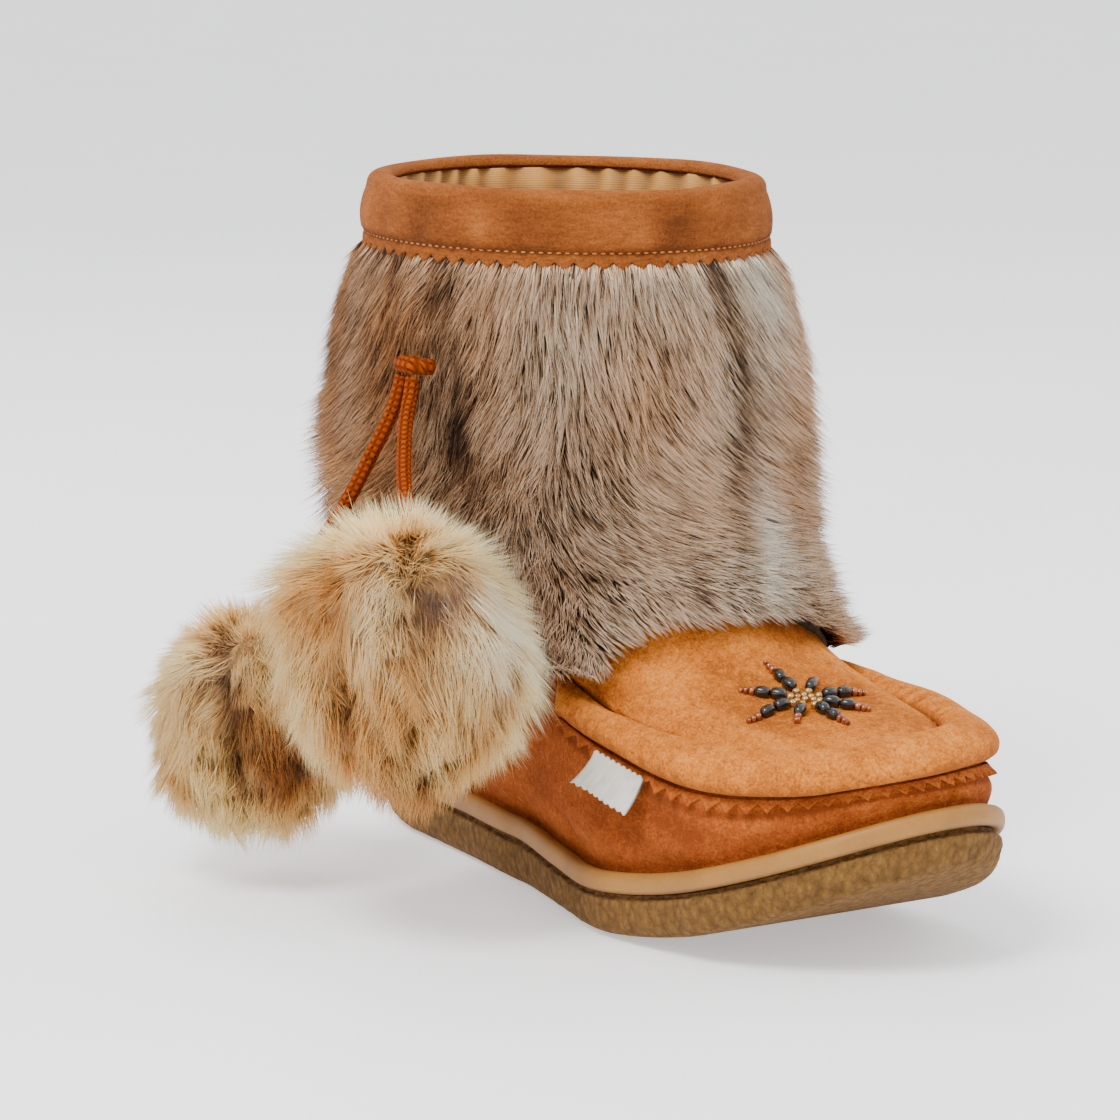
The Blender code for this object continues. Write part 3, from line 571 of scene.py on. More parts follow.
def read_face(turns, levels, face=FACE):
    """The fine grid read between its points."""
    turns, levels = np.broadcast_arrays(np.asarray(turns, float), np.asarray(levels, float))
    across = np.mod(turns, 2 * math.pi) / (2 * math.pi) * (TABLE_TURNS - 1)
    up = np.clip(levels, 0, TOP) / TOP * (TABLE_LEVELS - 1)
    i = np.clip(across.astype(int), 0, TABLE_TURNS - 2)
    j = np.clip(up.astype(int), 0, TABLE_LEVELS - 2)
    s = (across - i)[..., None]
    t = (up - j)[..., None]
    low = face[j, i] * (1 - s) + face[j, i + 1] * s
    high = face[j + 1, i] * (1 - s) + face[j + 1, i + 1] * s
    return low * (1 - t) + high * t


def off_upper(turns, levels, out, face=FACE):
    """Points a distance out from the boot's outer face."""
    found = read_face(turns, levels, face)
    normal = found[..., 3:6] / np.linalg.norm(found[..., 3:6], axis=-1, keepdims=True)
    return found[..., :3] + normal * np.broadcast_to(out, found.shape[:-1])[..., None]


# The places of a point's height and of the length up the face in a row of the fine grid
UP = 2
CLIMB = 6


HALVINGS = 13


def find_level(turns, value, kind):
    """The levels at which the height, or the length up the face, reaches a value."""
    turns, value = np.broadcast_arrays(np.asarray(turns, float), np.asarray(value, float))
    low = np.full(turns.shape, 1.0)
    high = np.full(turns.shape, TOP)
    for _ in range(HALVINGS):
        middle = (low + high) / 2
        under = read_face(turns, middle)[..., kind] < value
        low = np.where(under, middle, low)
        high = np.where(under, high, middle)
    return (low + high) / 2


def roll_level(turns, name):
    return read(ROLL_PLACE, "turn", name, to_toe(turns) / math.pi)


def roll_fade(turns):
    return smooth((0.52, 0.64), (0.25, 1.0), to_toe(turns) / math.pi)


def fur_hem(turns):
    return between_sides(FUR_HEM, "turn", to_toe(turns) / math.pi, outer_side(turns))


def covered(turns, levels):
    """How high the roll and the apron stand on the upper, with a gap over them."""
    within = smooth((0.50, 0.54), (0, 1), to_toe(turns) / math.pi)
    onto_roll = (levels - roll_level(turns, "low") + 0.7) / 0.4
    off_roll = (roll_level(turns, "high") + 1.3 - levels) / 0.7
    off_apron = (fur_hem(turns) + APRON_TUCK + 1.2 - levels) / 0.6
    roll = (ROLL_HEIGHT * roll_fade(turns) + 2 * GAP) * np.clip(onto_roll, 0, 1) * np.clip(off_roll, 0, 1)
    return within * np.maximum(roll, (APRON_THICKNESS + 2 * GAP) * np.clip(off_apron, 0, 1))


def crease_relief(points, creases):
    """How far the listed troughs and ridges move points out."""
    relief = np.zeros(points.shape[:-1])
    for crease in creases:
        share = np.linspace(0, 1, 9)
        turns = 2 * math.pi * (crease.turn_a + (crease.turn_b - crease.turn_a) * share)
        levels = crease.level_a + (crease.level_b - crease.level_a) * share
        levels = levels + crease.bow * np.sin(math.pi * share)
        line = off_upper(turns, levels, SEAT_GAP)
        near = np.full(points.shape[:-1], np.inf)
        place = np.zeros(points.shape[:-1])
        for k in range(len(line) - 1):
            along = line[k + 1] - line[k]
            t = np.clip((points - line[k]) @ along / (along @ along), 0, 1)
            distance = np.linalg.norm(points - line[k] - t[..., None] * along, axis=-1)
            closer = distance < near
            near = np.where(closer, distance, near)
            place = np.where(closer, (k + t) / (len(line) - 1), place)
        ends = 0.35 + 0.65 * np.sin(math.pi * np.clip(place, 0.02, 0.98)) ** 0.7
        relief -= crease.depth * ends * bell(near, crease.width)
    return relief


# Meshes. Points closer than WELD metres are merged. The other numbers say how many points go round.
WELD = 2e-7
SOLE_ROUND = 640
UPPER_ROUND = 416
LINING_ROUND = 300
HIDE_ROUND = 208
ROLL_ROUND = 480
APRON_ROUND = 300


def add_patch(builder, points, crease=None):
    """Adds a surface through a grid of points. crease tells how far each lies in a fold, which the material
    paints as shade.
    """
    rows, columns = points.shape[:2]
    layer = builder.verts.layers.float.get("crease") or builder.verts.layers.float.new("crease")
    if not builder.loops.layers.uv:
        builder.loops.layers.uv.new("UVMap")
    made = bmesh.ops.create_grid(
        builder, x_segments=columns - 1, y_segments=rows - 1, size=0.5, calc_uvs=True
    )["verts"]
    for vertex in made:
        i = round((vertex.co.x + 0.5) * (columns - 1))
        j = round((vertex.co.y + 0.5) * (rows - 1))
        vertex.co = points[j, i]
        vertex[layer] = 0.0 if crease is None else crease[j, i]
    return made


def closed(points):
    """A grid of points with its first column again at its end."""
    return np.concatenate([points, points[:, :1]], axis=1)


def ringed(points):
    """A grid of points with its first row again at its end."""
    return np.concatenate([points, points[:1]], axis=0)


def finish_mesh(name, builder, material, fill=False):
    """Welds the patches of a piece, closes it and makes it an object."""
    bmesh.ops.remove_doubles(builder, verts=builder.verts, dist=WELD)
    if fill:
        edges = [edge for edge in builder.edges if edge.is_boundary]
        bmesh.ops.holes_fill(builder, edges=edges, sides=0)
    bmesh.ops.recalc_face_normals(builder, faces=builder.faces)
    mesh = bpy.data.meshes.new(name)
    builder.to_mesh(mesh)
    builder.free()
    mesh.shade_smooth()
    return place_object(name, mesh, material)


def place_object(name, mesh, material):
    piece = bpy.data.objects.new(name, mesh)
    bpy.context.scene.collection.objects.link(piece)
    mesh.materials.append(material)
    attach(piece, "root")
    return piece


def patch_piece(name, material, points, crease=None, fill=False):
    """A piece made of one patch."""
    builder = bmesh.new()
    add_patch(builder, points, crease)
    return finish_mesh(name, builder, material, fill)


def triangle_mesh(name, corners, faces):
    """A mesh of triangles from plain arrays, for the many thousand hairs."""
    mesh = bpy.data.meshes.new(name)
    mesh.vertices.add(len(corners))
    mesh.vertices.foreach_set("co", np.asarray(corners, np.float32).ravel())
    mesh.loops.add(len(faces))
    mesh.loops.foreach_set("vertex_index", np.asarray(faces, np.int32))
    mesh.polygons.add(len(faces) // 3)
    mesh.polygons.foreach_set("loop_start", np.arange(0, len(faces), 3, dtype=np.int32))
    mesh.update(calc_edges=True)
    mesh.shade_smooth()
    return mesh


# Materials
def srgb(red, green, blue):
    """A colour read off a screen, from 0 to 255, as linear light."""
    shares = np.array((red, green, blue)) / 255
    linear = np.where(shares <= 0.04045, shares / 12.92, ((shares + 0.055) / 1.055) ** 2.4)
    return (*[float(value) for value in linear], 1.0)


class Reading:
    """A shader socket that works like a number in an expression."""

    def __init__(self, finish, socket):
        self.finish = finish
        self.socket = socket

    def math(self, operation, *others):
        values = {0: self}
        values.update({i + 1: other for i, other in enumerate(others)})
        return self.finish.node("ShaderNodeMath", {"operation": operation}, values)

    def __add__(self, other):
        return self.math("ADD", other)

    def __mul__(self, other):
        return self.math("MULTIPLY", other)

    def __sub__(self, other):
        return self.math("SUBTRACT", other)

    def __rsub__(self, other):
        return (self * -1.0) + other

    __radd__ = __add__
    __rmul__ = __mul__

    def step(self, low, high):
        """0 below low, 1 above high, and a soft step between them."""
        settings = {"interpolation_type": "SMOOTHSTEP"}
        return self.finish.node(
            "ShaderNodeMapRange", settings, {"Value": self, "From Min": low, "From Max": high}
        )

    def clamp(self):
        return self.math("MAXIMUM", 0.0).math("MINIMUM", 1.0)


class Finish:
    """One procedural material, built up node by node."""

    def __init__(self, name, roughness=0.8, **fixed):
        self.material = bpy.data.materials.new(name)
        self.material.use_nodes = True
        self.tree = self.material.node_tree
        self.shader = self.tree.nodes["Principled BSDF"]
        self.shader.inputs["Roughness"].default_value = roughness
        for socket, value in fixed.items():
            self.shader.inputs[socket.replace("_", " ")].default_value = value

    def node(self, kind, settings=None, values=None, out=0):
        """Adds a node, sets it up, feeds its sockets and returns one of its outputs."""
        made = self.tree.nodes.new(kind)
        for name, value in (settings or {}).items():
            if name == "stops":
                self.set_stops(made.color_ramp, value)
            else:
                setattr(made, name, value)
        for key, value in (values or {}).items():
            self.feed(made.inputs[key], value)
        return Reading(self, made.outputs[out])

    def set_stops(self, ramp, stops):
        while len(ramp.elements) < len(stops):
            ramp.elements.new(0.5)
        for element, (position, colour) in zip(ramp.elements, stops):
            element.position = position
            element.color = colour

    def feed(self, socket, value):
        if isinstance(value, Reading):
            self.tree.links.new(value.socket, socket)
        else:
            socket.default_value = value

    def place(self):
        return self.node("ShaderNodeTexCoord", out="Object")

    def stretched(self, scale):
        """Object coordinates, scaled differently along each axis."""
        return self.node("ShaderNodeMapping", None, {"Vector": self.place(), "Scale": scale})

    def attribute(self, name):
        return self.node("ShaderNodeAttribute", {"attribute_name": name}, out="Fac")

    def uv(self):
        return self.node("ShaderNodeUVMap")

    def noise(self, scale, detail=2.0, where=None, roughness=0.5, distortion=0.0):
        values = {
            "Vector": where or self.place(),
            "Scale": scale,
            "Detail": detail,
            "Roughness": roughness,
            "Distortion": distortion,
        }
        return self.node("ShaderNodeTexNoise", None, values, out="Fac")

    def cells(self, scale, where):
        return self.node("ShaderNodeTexVoronoi", None, {"Vector": where, "Scale": scale}, out="Distance")

    def ramp(self, value, stops):
        return self.node("ShaderNodeValToRGB", {"stops": stops}, {0: value}, out="Color")

    def mix(self, first, second, share, blend="MIX"):
        settings = {"data_type": "RGBA", "blend_type": blend}
        return self.node("ShaderNodeMix", settings, {0: share, 6: first, 7: second}, out=2)

    def colour(self, value):
        self.feed(self.shader.inputs["Base Color"], value)

    def ramped(self, value, *stops):
        """Colours the surface by a number. Each stop is a place and a colour read off a screen."""
        self.colour(self.ramp(value, [(place, srgb(*colour)) for place, *colour in stops]))

    def rough(self, value):
        self.feed(self.shader.inputs["Roughness"], value)

    def bump(self, height, depth, strength=1.0):
        values = {"Height": height, "Distance": depth, "Strength": strength}
        self.feed(self.shader.inputs["Normal"], self.node("ShaderNodeBump", None, values))


def suede(name, colours, streak=(1.0, 1.0, 1.0), spread=0.13, fold=0.16):
    """Brushed suede: cloudy nap and fine grain, with painted shade in its folds and paler ridges, partly
    wear and partly painted highlight.
    """
    sheen = {"Sheen_Weight": 0.05, "Sheen_Roughness": 0.5, "Sheen_Tint": srgb(255, 176, 104)}
    finish = Finish(name, 0.95, Specular_IOR_Level=0.12, **sheen)
    shade, middle, light = colours
    nap = finish.noise(60.0, 3.0, finish.stretched(streak), 0.55, 0.3)
    brushed = finish.noise(380.0, 4.0, finish.stretched(streak), 0.65, 0.5)
    grain = finish.noise(1300.0, 3.0, None, 0.7)
    relief = finish.attribute("crease")
    # relief paints shade and highlight from the crease values; fold sets how strongly
    tone = nap * 0.26 + brushed * 0.34 + grain * 0.46 + relief * fold - 0.03
    finish.ramped(tone, (0.50 - spread, *shade), (0.50, *middle), (0.50 + spread, *light))
    finish.rough(1.0 - brushed * 0.12)
    finish.bump(grain * 0.8 + brushed * 0.8 + nap * 0.3, 0.0011, 0.9)
    return finish.material


def crepe_rubber():
    """The sole's crepe: crumpled lumps, a little taller than wide, faintly speckled, with painted shade
    from its crease values.
    """
    finish = Finish("crepe_rubber", 0.8, Specular_IOR_Level=0.25)
    stretch = finish.stretched((1.0, 1.0, 0.7))
    lump = finish.cells(420.0, stretch)
    crumb = finish.noise(1100.0, 4.0, stretch, 0.7, 0.8)
    cloud = finish.noise(150.0, 2.0)
    relief = finish.attribute("crease")
    tone = crumb * 0.60 + lump * -0.35 + cloud * 0.10 + relief * 0.06 + 0.30
    finish.ramped(tone, (0.20, 84, 55, 20), (0.42, 112, 77, 31), (0.60, 133, 94, 42), (0.85, 166, 124, 64))
    finish.rough(0.92 - crumb * 0.2)
    finish.bump(crumb * 0.5 + lump * -1.2, 0.0020, 1.0)
    return finish.material


def gum_welt():
    """The smooth tan band, a little glossy, with faint clouds and scuffs, and painted shade at its foot."""
    finish = Finish("gum_welt", 0.5, Coat_Roughness=0.4)
    cloud = finish.noise(70.0, 3.0)
    fine = finish.noise(900.0, 3.0, None, 0.6)
    relief = finish.attribute("crease")
    tone = cloud * 0.4 + fine * 0.25 + 0.16 + relief * 0.4
    finish.ramped(tone, (0.20, 108, 68, 20), (0.50, 151, 101, 31), (0.85, 174, 124, 48))
    finish.rough(0.48 + fine * 0.25)
    finish.feed(finish.shader.inputs["Coat Weight"], 0.05 + cloud * 0.08)
    finish.bump(fine * 0.5 + cloud, 0.0002, 0.5)
    return finish.material


def lining_cloth():
    """The golden tan satin of the lining, with its fine weave and painted shade in its folds."""
    finish = Finish("lining_cloth", 0.6, Sheen_Weight=0.15)
    rows = {"Vector": finish.place(), "Scale": 420.0, "Distortion": 1.5, "Detail": 2.0}
    settings = {"wave_type": "BANDS", "bands_direction": "Z"}
    weave = finish.node("ShaderNodeTexWave", settings, rows, out="Fac")
    soft = finish.noise(120.0, 3.0)
    relief = finish.attribute("crease")
    tone = soft * 0.45 + weave * 0.12 + relief * 0.24 + 0.22
    finish.ramped(tone, (0.15, 98, 60, 20), (0.5, 176, 120, 46), (0.85, 212, 158, 74))
    finish.rough(0.72 - soft * 0.2)
    finish.bump(weave * 0.4 + soft * 0.4, 0.0003, 0.6)
    return finish.material


def footbed_felt():
    """The footbed's fleecy felt."""
    finish = Finish("footbed_felt", 0.95)
    fleece = finish.noise(700.0, 5.0, None, 0.75, 1.2)
    worn = finish.noise(40.0, 2.0)
    tone = fleece * 0.7 + worn * 0.35 - 0.02
    finish.ramped(tone, (0.2, 140, 112, 76), (0.5, 196, 168, 124), (0.85, 226, 204, 166))
    finish.rough(1.0 - fleece * 0.1)
    finish.bump(fleece, 0.0012, 0.9)
    return finish.material


def hair(name, stops, warm, pale, root_colour_and_shade):
    """Hair: each has its own tone and a paler tip, and is darker at its root, partly its own colour and
    partly painted shade.
    """
    finish = Finish(name, 0.6, Specular_IOR_Level=0.25)
    tone = finish.attribute("tone")
    tipward = finish.attribute("along").step(0.1, 0.85)
    warmth = finish.attribute("warmth")
    speckle = finish.noise(900.0, 2.0)
    shade = tone + tipward * root_colour_and_shade + speckle * 0.12 - 0.06 - root_colour_and_shade * 0.6
    coat = finish.ramp(shade, stops)
    tinted = finish.mix(coat, warm, warmth, "MULTIPLY")
    finish.colour(finish.mix(tinted, pale, finish.attribute("pale").clamp()))
    finish.rough(0.70 - tipward * 0.15)
    return finish.material


def plain_hide(name, dark, light):
    """The skin and underfur between the hairs."""
    finish = Finish(name, 0.95)
    down = finish.noise(600.0, 5.0, finish.stretched((1.0, 1.0, 0.35)), 0.7, 0.6)
    patch = finish.noise(60.0, 2.0)
    finish.ramped(down * 0.7 + patch * 0.3, (0.25, *dark), (0.75, *light))
    finish.rough(1.0 - down * 0.1)
    finish.bump(down, 0.0015, 1.0)
    return finish.material


def braided_cord():
    """The rust-orange cord: light threads over dark gaps, the gaps painted as shade."""
    finish = Finish("braided_cord", 0.8, Specular_IOR_Level=0.06)
    relief = finish.attribute("crease")
    threads = finish.noise(1800.0, 3.0, None, 0.6)
    tone = relief * 0.55 + threads * 0.4 + 0.12
    finish.ramped(tone, (0.15, 36, 11, 1), (0.5, 114, 43, 2), (0.85, 168, 74, 8))
    finish.rough(0.9 - threads * 0.15)
    finish.bump(threads, 0.0003, 0.7)
    return finish.material


def bead_glass(name, dark, light, roughness, metallic):
    """Small glass or metal beads, each a little different."""
    finish = Finish(name, roughness, Metallic=metallic, Coat_Weight=0.4, Coat_Roughness=0.12)
    tone = finish.noise(520.0, 2.0)
    finish.ramped(tone, (0.3, *dark), (0.7, *light))
    finish.rough(roughness + tone * 0.12)
    finish.bump(finish.noise(2600.0, 2.0), 0.0001, 0.4)
    return finish.material


def sewing_thread():
    finish = Finish("tan_thread", 0.75)
    twist = finish.noise(3000.0, 2.0, finish.stretched((1.0, 1.0, 2.0)))
    finish.ramped(twist, (0.3, 140, 76, 32), (0.7, 196, 122, 62))
    finish.rough(0.85 - twist * 0.15)
    finish.bump(twist, 0.0002, 0.6)
    return finish.material


def woven_label():
    """The blank white tab: fine ribs and crossing threads, with a little dirt."""
    finish = Finish("woven_label", 0.75, Sheen_Weight=0.1)
    across = finish.node("ShaderNodeSeparateXYZ", None, {0: finish.uv()}, out="X")
    up = finish.node("ShaderNodeSeparateXYZ", None, {0: finish.uv()}, out="Y")
    warp = (across * 420.0).math("SINE")
    weft = (up * 260.0).math("SINE")
    weave = warp * weft * 0.5 + 0.5
    dirt = finish.noise(260.0, 4.0)
    tone = weave * 0.25 + dirt * 0.5 + 0.2
    finish.ramped(tone, (0.2, 150, 144, 130), (0.5, 206, 202, 190), (0.8, 232, 229, 220))
    finish.rough(0.85 - weave * 0.1)
    finish.bump(weave, 0.0002, 0.6)
    return finish.material


def pale_floor():
    glow = {"Emission_Color": srgb(255, 255, 255), "Emission_Strength": 0.55}
    finish = Finish("pale_floor", 0.7, **glow)
    grain = finish.noise(6.0, 2.0)
    finish.ramped(grain, (0.3, 240, 240, 241), (0.7, 244, 244, 244))
    return finish.material


SUEDE_FOOT = suede("suede_foot", ((124, 55, 16), (158, 76, 24), (188, 102, 42)), fold=0.09)
SUEDE_APRON = suede("suede_apron", ((156, 82, 24), (205, 117, 38), (232, 150, 64)))
BAND_STREAK = (0.6, 0.6, 2.2)
SUEDE_BAND = suede("suede_band", ((92, 46, 15), (134, 71, 26), (166, 98, 46)), BAND_STREAK, spread=0.20)
CREPE = crepe_rubber()
WELT_GUM = gum_welt()
LINING = lining_cloth()
FELT = footbed_felt()
CORD_BRAID = braided_cord()
COAT_STOPS = (
    (0.08, srgb(52, 40, 32)),
    (0.30, srgb(112, 88, 66)),
    (0.52, srgb(178, 150, 118)),
    (0.74, srgb(232, 212, 178)),
    (0.92, srgb(252, 242, 220)),
)
POMPOM_STOPS = (
    (0.08, srgb(96, 64, 30)),
    (0.28, srgb(176, 128, 66)),
    (0.48, srgb(232, 190, 114)),
    (0.70, srgb(252, 226, 156)),
    (0.92, srgb(254, 243, 198)),
)
COAT_HAIR = hair("coat_hair", COAT_STOPS, srgb(234, 182, 134), srgb(244, 242, 236), root_colour_and_shade=0.50)
POMPOM_HAIR = hair("pompom_hair", POMPOM_STOPS, srgb(232, 186, 138), srgb(253, 248, 236), root_colour_and_shade=0.26)
# The coat's hide is kept very dark: partly the underfur's own colour and partly painted shade under the
# hairs and the band
HIDE = plain_hide("coat_hide", (46, 36, 28), (98, 78, 60))
POMPOM_HIDE = plain_hide("pompom_hide", (120, 86, 48), (196, 154, 100))
BEAD_GLASS = {
    "black": bead_glass("black_beads", (14, 14, 15), (34, 32, 31), roughness=0.16, metallic=0.0),
    "copper": bead_glass("copper_beads", (120, 62, 40), (196, 122, 84), roughness=0.25, metallic=0.75),
    "gold": bead_glass("gold_beads", (170, 122, 62), (232, 196, 130), roughness=0.22, metallic=0.8),
}
TAN_THREAD = sewing_thread()
LABEL_CLOTH = woven_label()


# The camera and the light
def set_camera():
    """The photograph's own view, drawn in on the one boot."""
    camera = bpy.data.objects.new("camera", bpy.data.cameras.new("camera"))
    bpy.context.scene.collection.objects.link(camera)
    camera.location = CAMERA_PLACE
    aim = Vector(CAMERA_AIM) - Vector(CAMERA_PLACE)
    camera.rotation_euler = aim.to_track_quat("-Z", "Y").to_euler()
    camera.data.lens = CAMERA_LENS
    camera.data.sensor_fit = "HORIZONTAL"
    camera.data.sensor_width = 36.0
    bpy.context.scene.camera = camera


LIGHT_AIM = (0.09, -0.02, 0.09)


def add_light(name, place, size, power):
    lamp = bpy.data.objects.new(name, bpy.data.lights.new(name, "AREA"))
    bpy.context.scene.collection.objects.link(lamp)
    lamp.location = place
    lamp.rotation_euler = (Vector(LIGHT_AIM) - Vector(place)).to_track_quat("-Z", "Y").to_euler()
    lamp.data.size = size
    lamp.data.energy = power


def set_light():
    """A pale room with three large soft lamps."""
    world = bpy.data.worlds.new("studio")
    world.use_nodes = True
    sky = world.node_tree.nodes["Background"].inputs
    sky["Color"].default_value = (0.97, 0.98, 1.0, 1.0)
    sky["Strength"].default_value = 1.25
    bpy.context.scene.world = world
    add_light("key", (0.5, -0.9, 1.45), 0.6, 30.0)
    add_light("fill", (0.6, 1.1, 0.8), 1.0, 5.0)
    add_light("back", (-0.9, 0.1, 1.2), 0.8, 9.0)


def set_floor():
    builder = bmesh.new()
    bmesh.ops.create_grid(builder, x_segments=1, y_segments=1, size=6.0)
    mesh = bpy.data.meshes.new("floor")
    builder.to_mesh(mesh)
    builder.free()
    floor = bpy.data.objects.new("floor", mesh)
    bpy.context.scene.collection.objects.link(floor)
    mesh.materials.append(pale_floor())


# Cords and knot
CORD_STEP = 0.0005
BRAID_STRANDS = 6
BRAID_PITCH = 0.0125
BRAID_ROUND = 24


def curve_through(points):
    """Points at even steps along a smooth curve through a route."""
    points = np.array(points, float)
    lengths = np.concatenate([[0], np.cumsum(np.linalg.norm(np.diff(points, axis=0), axis=1))])
    count = max(4, int(round(lengths[-1] / CORD_STEP)))
    at = np.linspace(0, lengths[-1], count + 1)
    return np.column_stack([smooth(lengths, points[:, axis], at) for axis in range(3)])


def braid(builder, path, radius):
    """A round braid along a path: two sets of strands that cross over and under."""
    along = np.gradient(path, axis=0)
    along /= np.linalg.norm(along, axis=1, keepdims=True)
    across = np.cross(along, (0.37, 0.91, 0.19))
    across /= np.linalg.norm(across, axis=1, keepdims=True)
    beside = np.cross(along, across)
    distance = np.concatenate([[0], np.cumsum(np.linalg.norm(np.diff(path, axis=0), axis=1))])[:, None]
    angle = round_turns(BRAID_ROUND)[None, :]
    wind = 2 * math.pi * distance / BRAID_PITCH
    left = np.cos(BRAID_STRANDS * (angle + wind) / 2)
    right = np.cos(BRAID_STRANDS * (angle - wind) / 2)
    weave = np.maximum(np.abs(left) ** 0.6, np.abs(right) ** 0.6) * 2 - 1
    weave = weave * 0.5 + 0.5 * np.sign(left * right) * 0.5
    reach = radius * (1 - 0.10 + 0.10 * weave)
    points = path[:, None] + reach[..., None] * (
        np.cos(angle)[..., None] * across[:, None] + np.sin(angle)[..., None] * beside[:, None]
    )
    # The weave's height is also its crease value, which paints shade into the gaps between the strands
    add_patch(builder, closed(points), closed(weave))


def make_cords():
    """The two cords that hang from the knot, each into its pompom."""
    pieces = {}
    for name, route in CORD_ROUTES.items():
        path = curve_through(route)
        builder = bmesh.new()
        braid(builder, path, CORD_DIAMETER / 2)
        piece = finish_mesh(name, builder, CORD_BRAID, fill=True)
        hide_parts(name)
        pieces[name] = (piece, path)
    return pieces


def make_knot():
    """The loop of cord that comes out of the fur, lies across it and goes back in."""
    middle, half = np.array(KNOT_MIDDLE), np.array(KNOT_HALF)
    route = [
        middle + half * (-0.62, 1.9, -0.1),
        middle + half * (-0.66, 0.7, 0.0),
        middle + half * (-0.50, -0.15, 0.05),
        middle + half * (0.0, -0.35, 0.1),
        middle + half * (0.50, -0.15, 0.05),
        middle + half * (0.66, 0.7, 0.0),
        middle + half * (0.62, 1.9, -0.1),
    ]
    builder = bmesh.new()
    braid(builder, curve_through(route), CORD_DIAMETER / 2 * 1.12)
    piece = finish_mesh("cord_knot", builder, CORD_BRAID, fill=True)
    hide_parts("cord_knot")
    return piece


def declare_cords(cords, knot, tufts):
    """Gathers the pieces that each cord runs into; nothing further is done with them."""
    for name, (piece, path) in cords.items():
        with_pieces = tufts[name] + ([knot] if name == "cord_front" else [])


# The sole
CRUMB_DEPTH = 0.00028


def make_outsole():
    """The crepe sole: a crumpled side over a flat tread."""
    turns = round_turns(SOLE_ROUND)
    x = outline(turns)[:, 0]
    top = ledge_height(turns) - GAP
    bottom = tread_height(x)
    undercut = 1 + (TOE_UNDERCUT - 1) * smooth((0, 0.7, 1), (0, 0.1, 1), share_along(x))
    knots = np.linspace(0, len(SOLE_SIDE) - 1, 26)
    keys = np.arange(len(SOLE_SIDE))
    insets = smooth(keys, column(SOLE_SIDE, "inset"), knots)
    drops = smooth(keys, column(SOLE_SIDE, "drop"), knots)
    rows = []
    reliefs = []
    for inset, drop in zip(insets, drops):
        height = top + (bottom - top) * drop
        ring = sole_ring(turns, BOTTOM_EDGE_INSET * inset * undercut, height)
        crumb = 0.6 * ripple(ring, 0.0042, 3) + 0.5 * ripple(ring, 0.0024, 4)
        strength = CRUMB_DEPTH * ease(drop, 0.12, 0.25) * ease(1 - drop, 0.0, 0.10)
        ring[:, :2] = inset_outline(turns, BOTTOM_EDGE_INSET * inset * undercut - strength * crumb)
        rows.append(ring)
        # Painted highlight on the crumbs' bumps and painted shade in their hollows, and painted shade at
        # the top of the side, under the welt
        reliefs.append(crumb * 0.6 * ease(drop, 0.08, 0.2) - 1.2 * ease(0.14 - drop, 0.0, 0.06))
    side = np.array(rows)
    builder = bmesh.new()
    add_patch(builder, closed(side), closed(np.array(reliefs)))
    for ring in (side[0], side[-1]):
        half = len(turns) // 2
        left = ring[: half + 1]
        right = ring[(-np.arange(half + 1)) % len(turns)]
        share = np.linspace(0, 1, 7)[:, None, None]
        add_patch(builder, left[None] * (1 - share) + right[None] * share)
    piece = finish_mesh("crepe_sole", builder, CREPE)
    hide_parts("outsole")


def make_welt():
    """The smooth band round the sole's rim."""
    turns = round_turns(UPPER_ROUND)
    base = ledge_height(turns)
    waver = 0.00012 * ripple(outline(turns), 0.03, 5)
    rows = [
        sole_ring(turns, WELT_WIDTH * row.inset - waver, base + WELT_HEIGHT * row.rise)
        for row in WELT_SECTION
    ]
    # Painted shade on the welt's lowest rows, where it sits on the sole
    painted_shade = [np.full(len(turns), -0.5 if row.rise < 0.1 else 0.0) for row in WELT_SECTION]
    crease = closed(ringed(np.array(painted_shade)))
    piece = patch_piece("rubber_welt", WELT_GUM, closed(ringed(np.array(rows))), crease)
    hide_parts("welt")


# The suede
WELT_GATHERS = 78


def make_upper():
    """The hollow suede upper with its soft folds."""
    turns = round_turns(UPPER_ROUND)
    outer = np.concatenate([np.linspace(0, 5.4, 64), np.linspace(5.7, TOP, 12)])
    inner = np.linspace(TOP, 0, 14)
    grid, levels = np.meshgrid(turns, outer)
    flat = off_upper(grid, levels, 0.0)
    gathers = np.sin(grid * WELT_GATHERS + 3 * ripple(flat, 0.04, 8))
    near_welt = ease(levels, 0.9, 1.3) * ease(2.6 - levels, 0.0, 1.4)
    relief = crease_relief(flat, FOOT_CREASES) * ease(levels, 0.7, 1.3)
    relief = relief + 0.00035 * ripple(flat, 0.028, 6) * ease(levels, 1.0, 2.0)
    relief = relief + 0.00010 * gathers * near_welt
    bulge = 0.0005 * np.sin(math.pi * np.clip((levels - 1) / 1.6, 0, 1))
    outside = off_upper(grid, levels, relief + bulge)
    outside[levels < 1] = flat[levels < 1]
    inner_grid, inner_levels = np.meshgrid(turns, inner)
    inside = off_upper(inner_grid, inner_levels, -UPPER_WALL)
    inside[0, :, 2] = outside[-1, :, 2]
    inside[-1, :, 2] = outside[0, :, 2]
    points = np.concatenate([outside, inside])
    # Painted shadow under the trim's teeth, painted shade in the corner above the welt, and painted shade
    # in the folds
    shade_under_trim = bell(levels - roll_level(grid, "tips") + 0.12, 0.12)
    shade_under_trim = shade_under_trim * ease(to_toe(grid) / math.pi, 0.50, 0.56)
    crease = relief / 0.0012 - 0.9 * bell(levels - 1.0, 0.16) - 2.2 * shade_under_trim
    crease = np.concatenate([crease, np.zeros(inner_grid.shape)])
    piece = patch_piece("suede_upper", SUEDE_FOOT, closed(ringed(points)), closed(ringed(crease)))
    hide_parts("upper")


def front_turns(count):
    return math.pi + np.linspace(-FRONT_SPAN, FRONT_SPAN, count)


# The gathers between the apron and the roll: metres from one to the next, and the seed of their chance
APRON_GATHERS = (0.0062, 31)


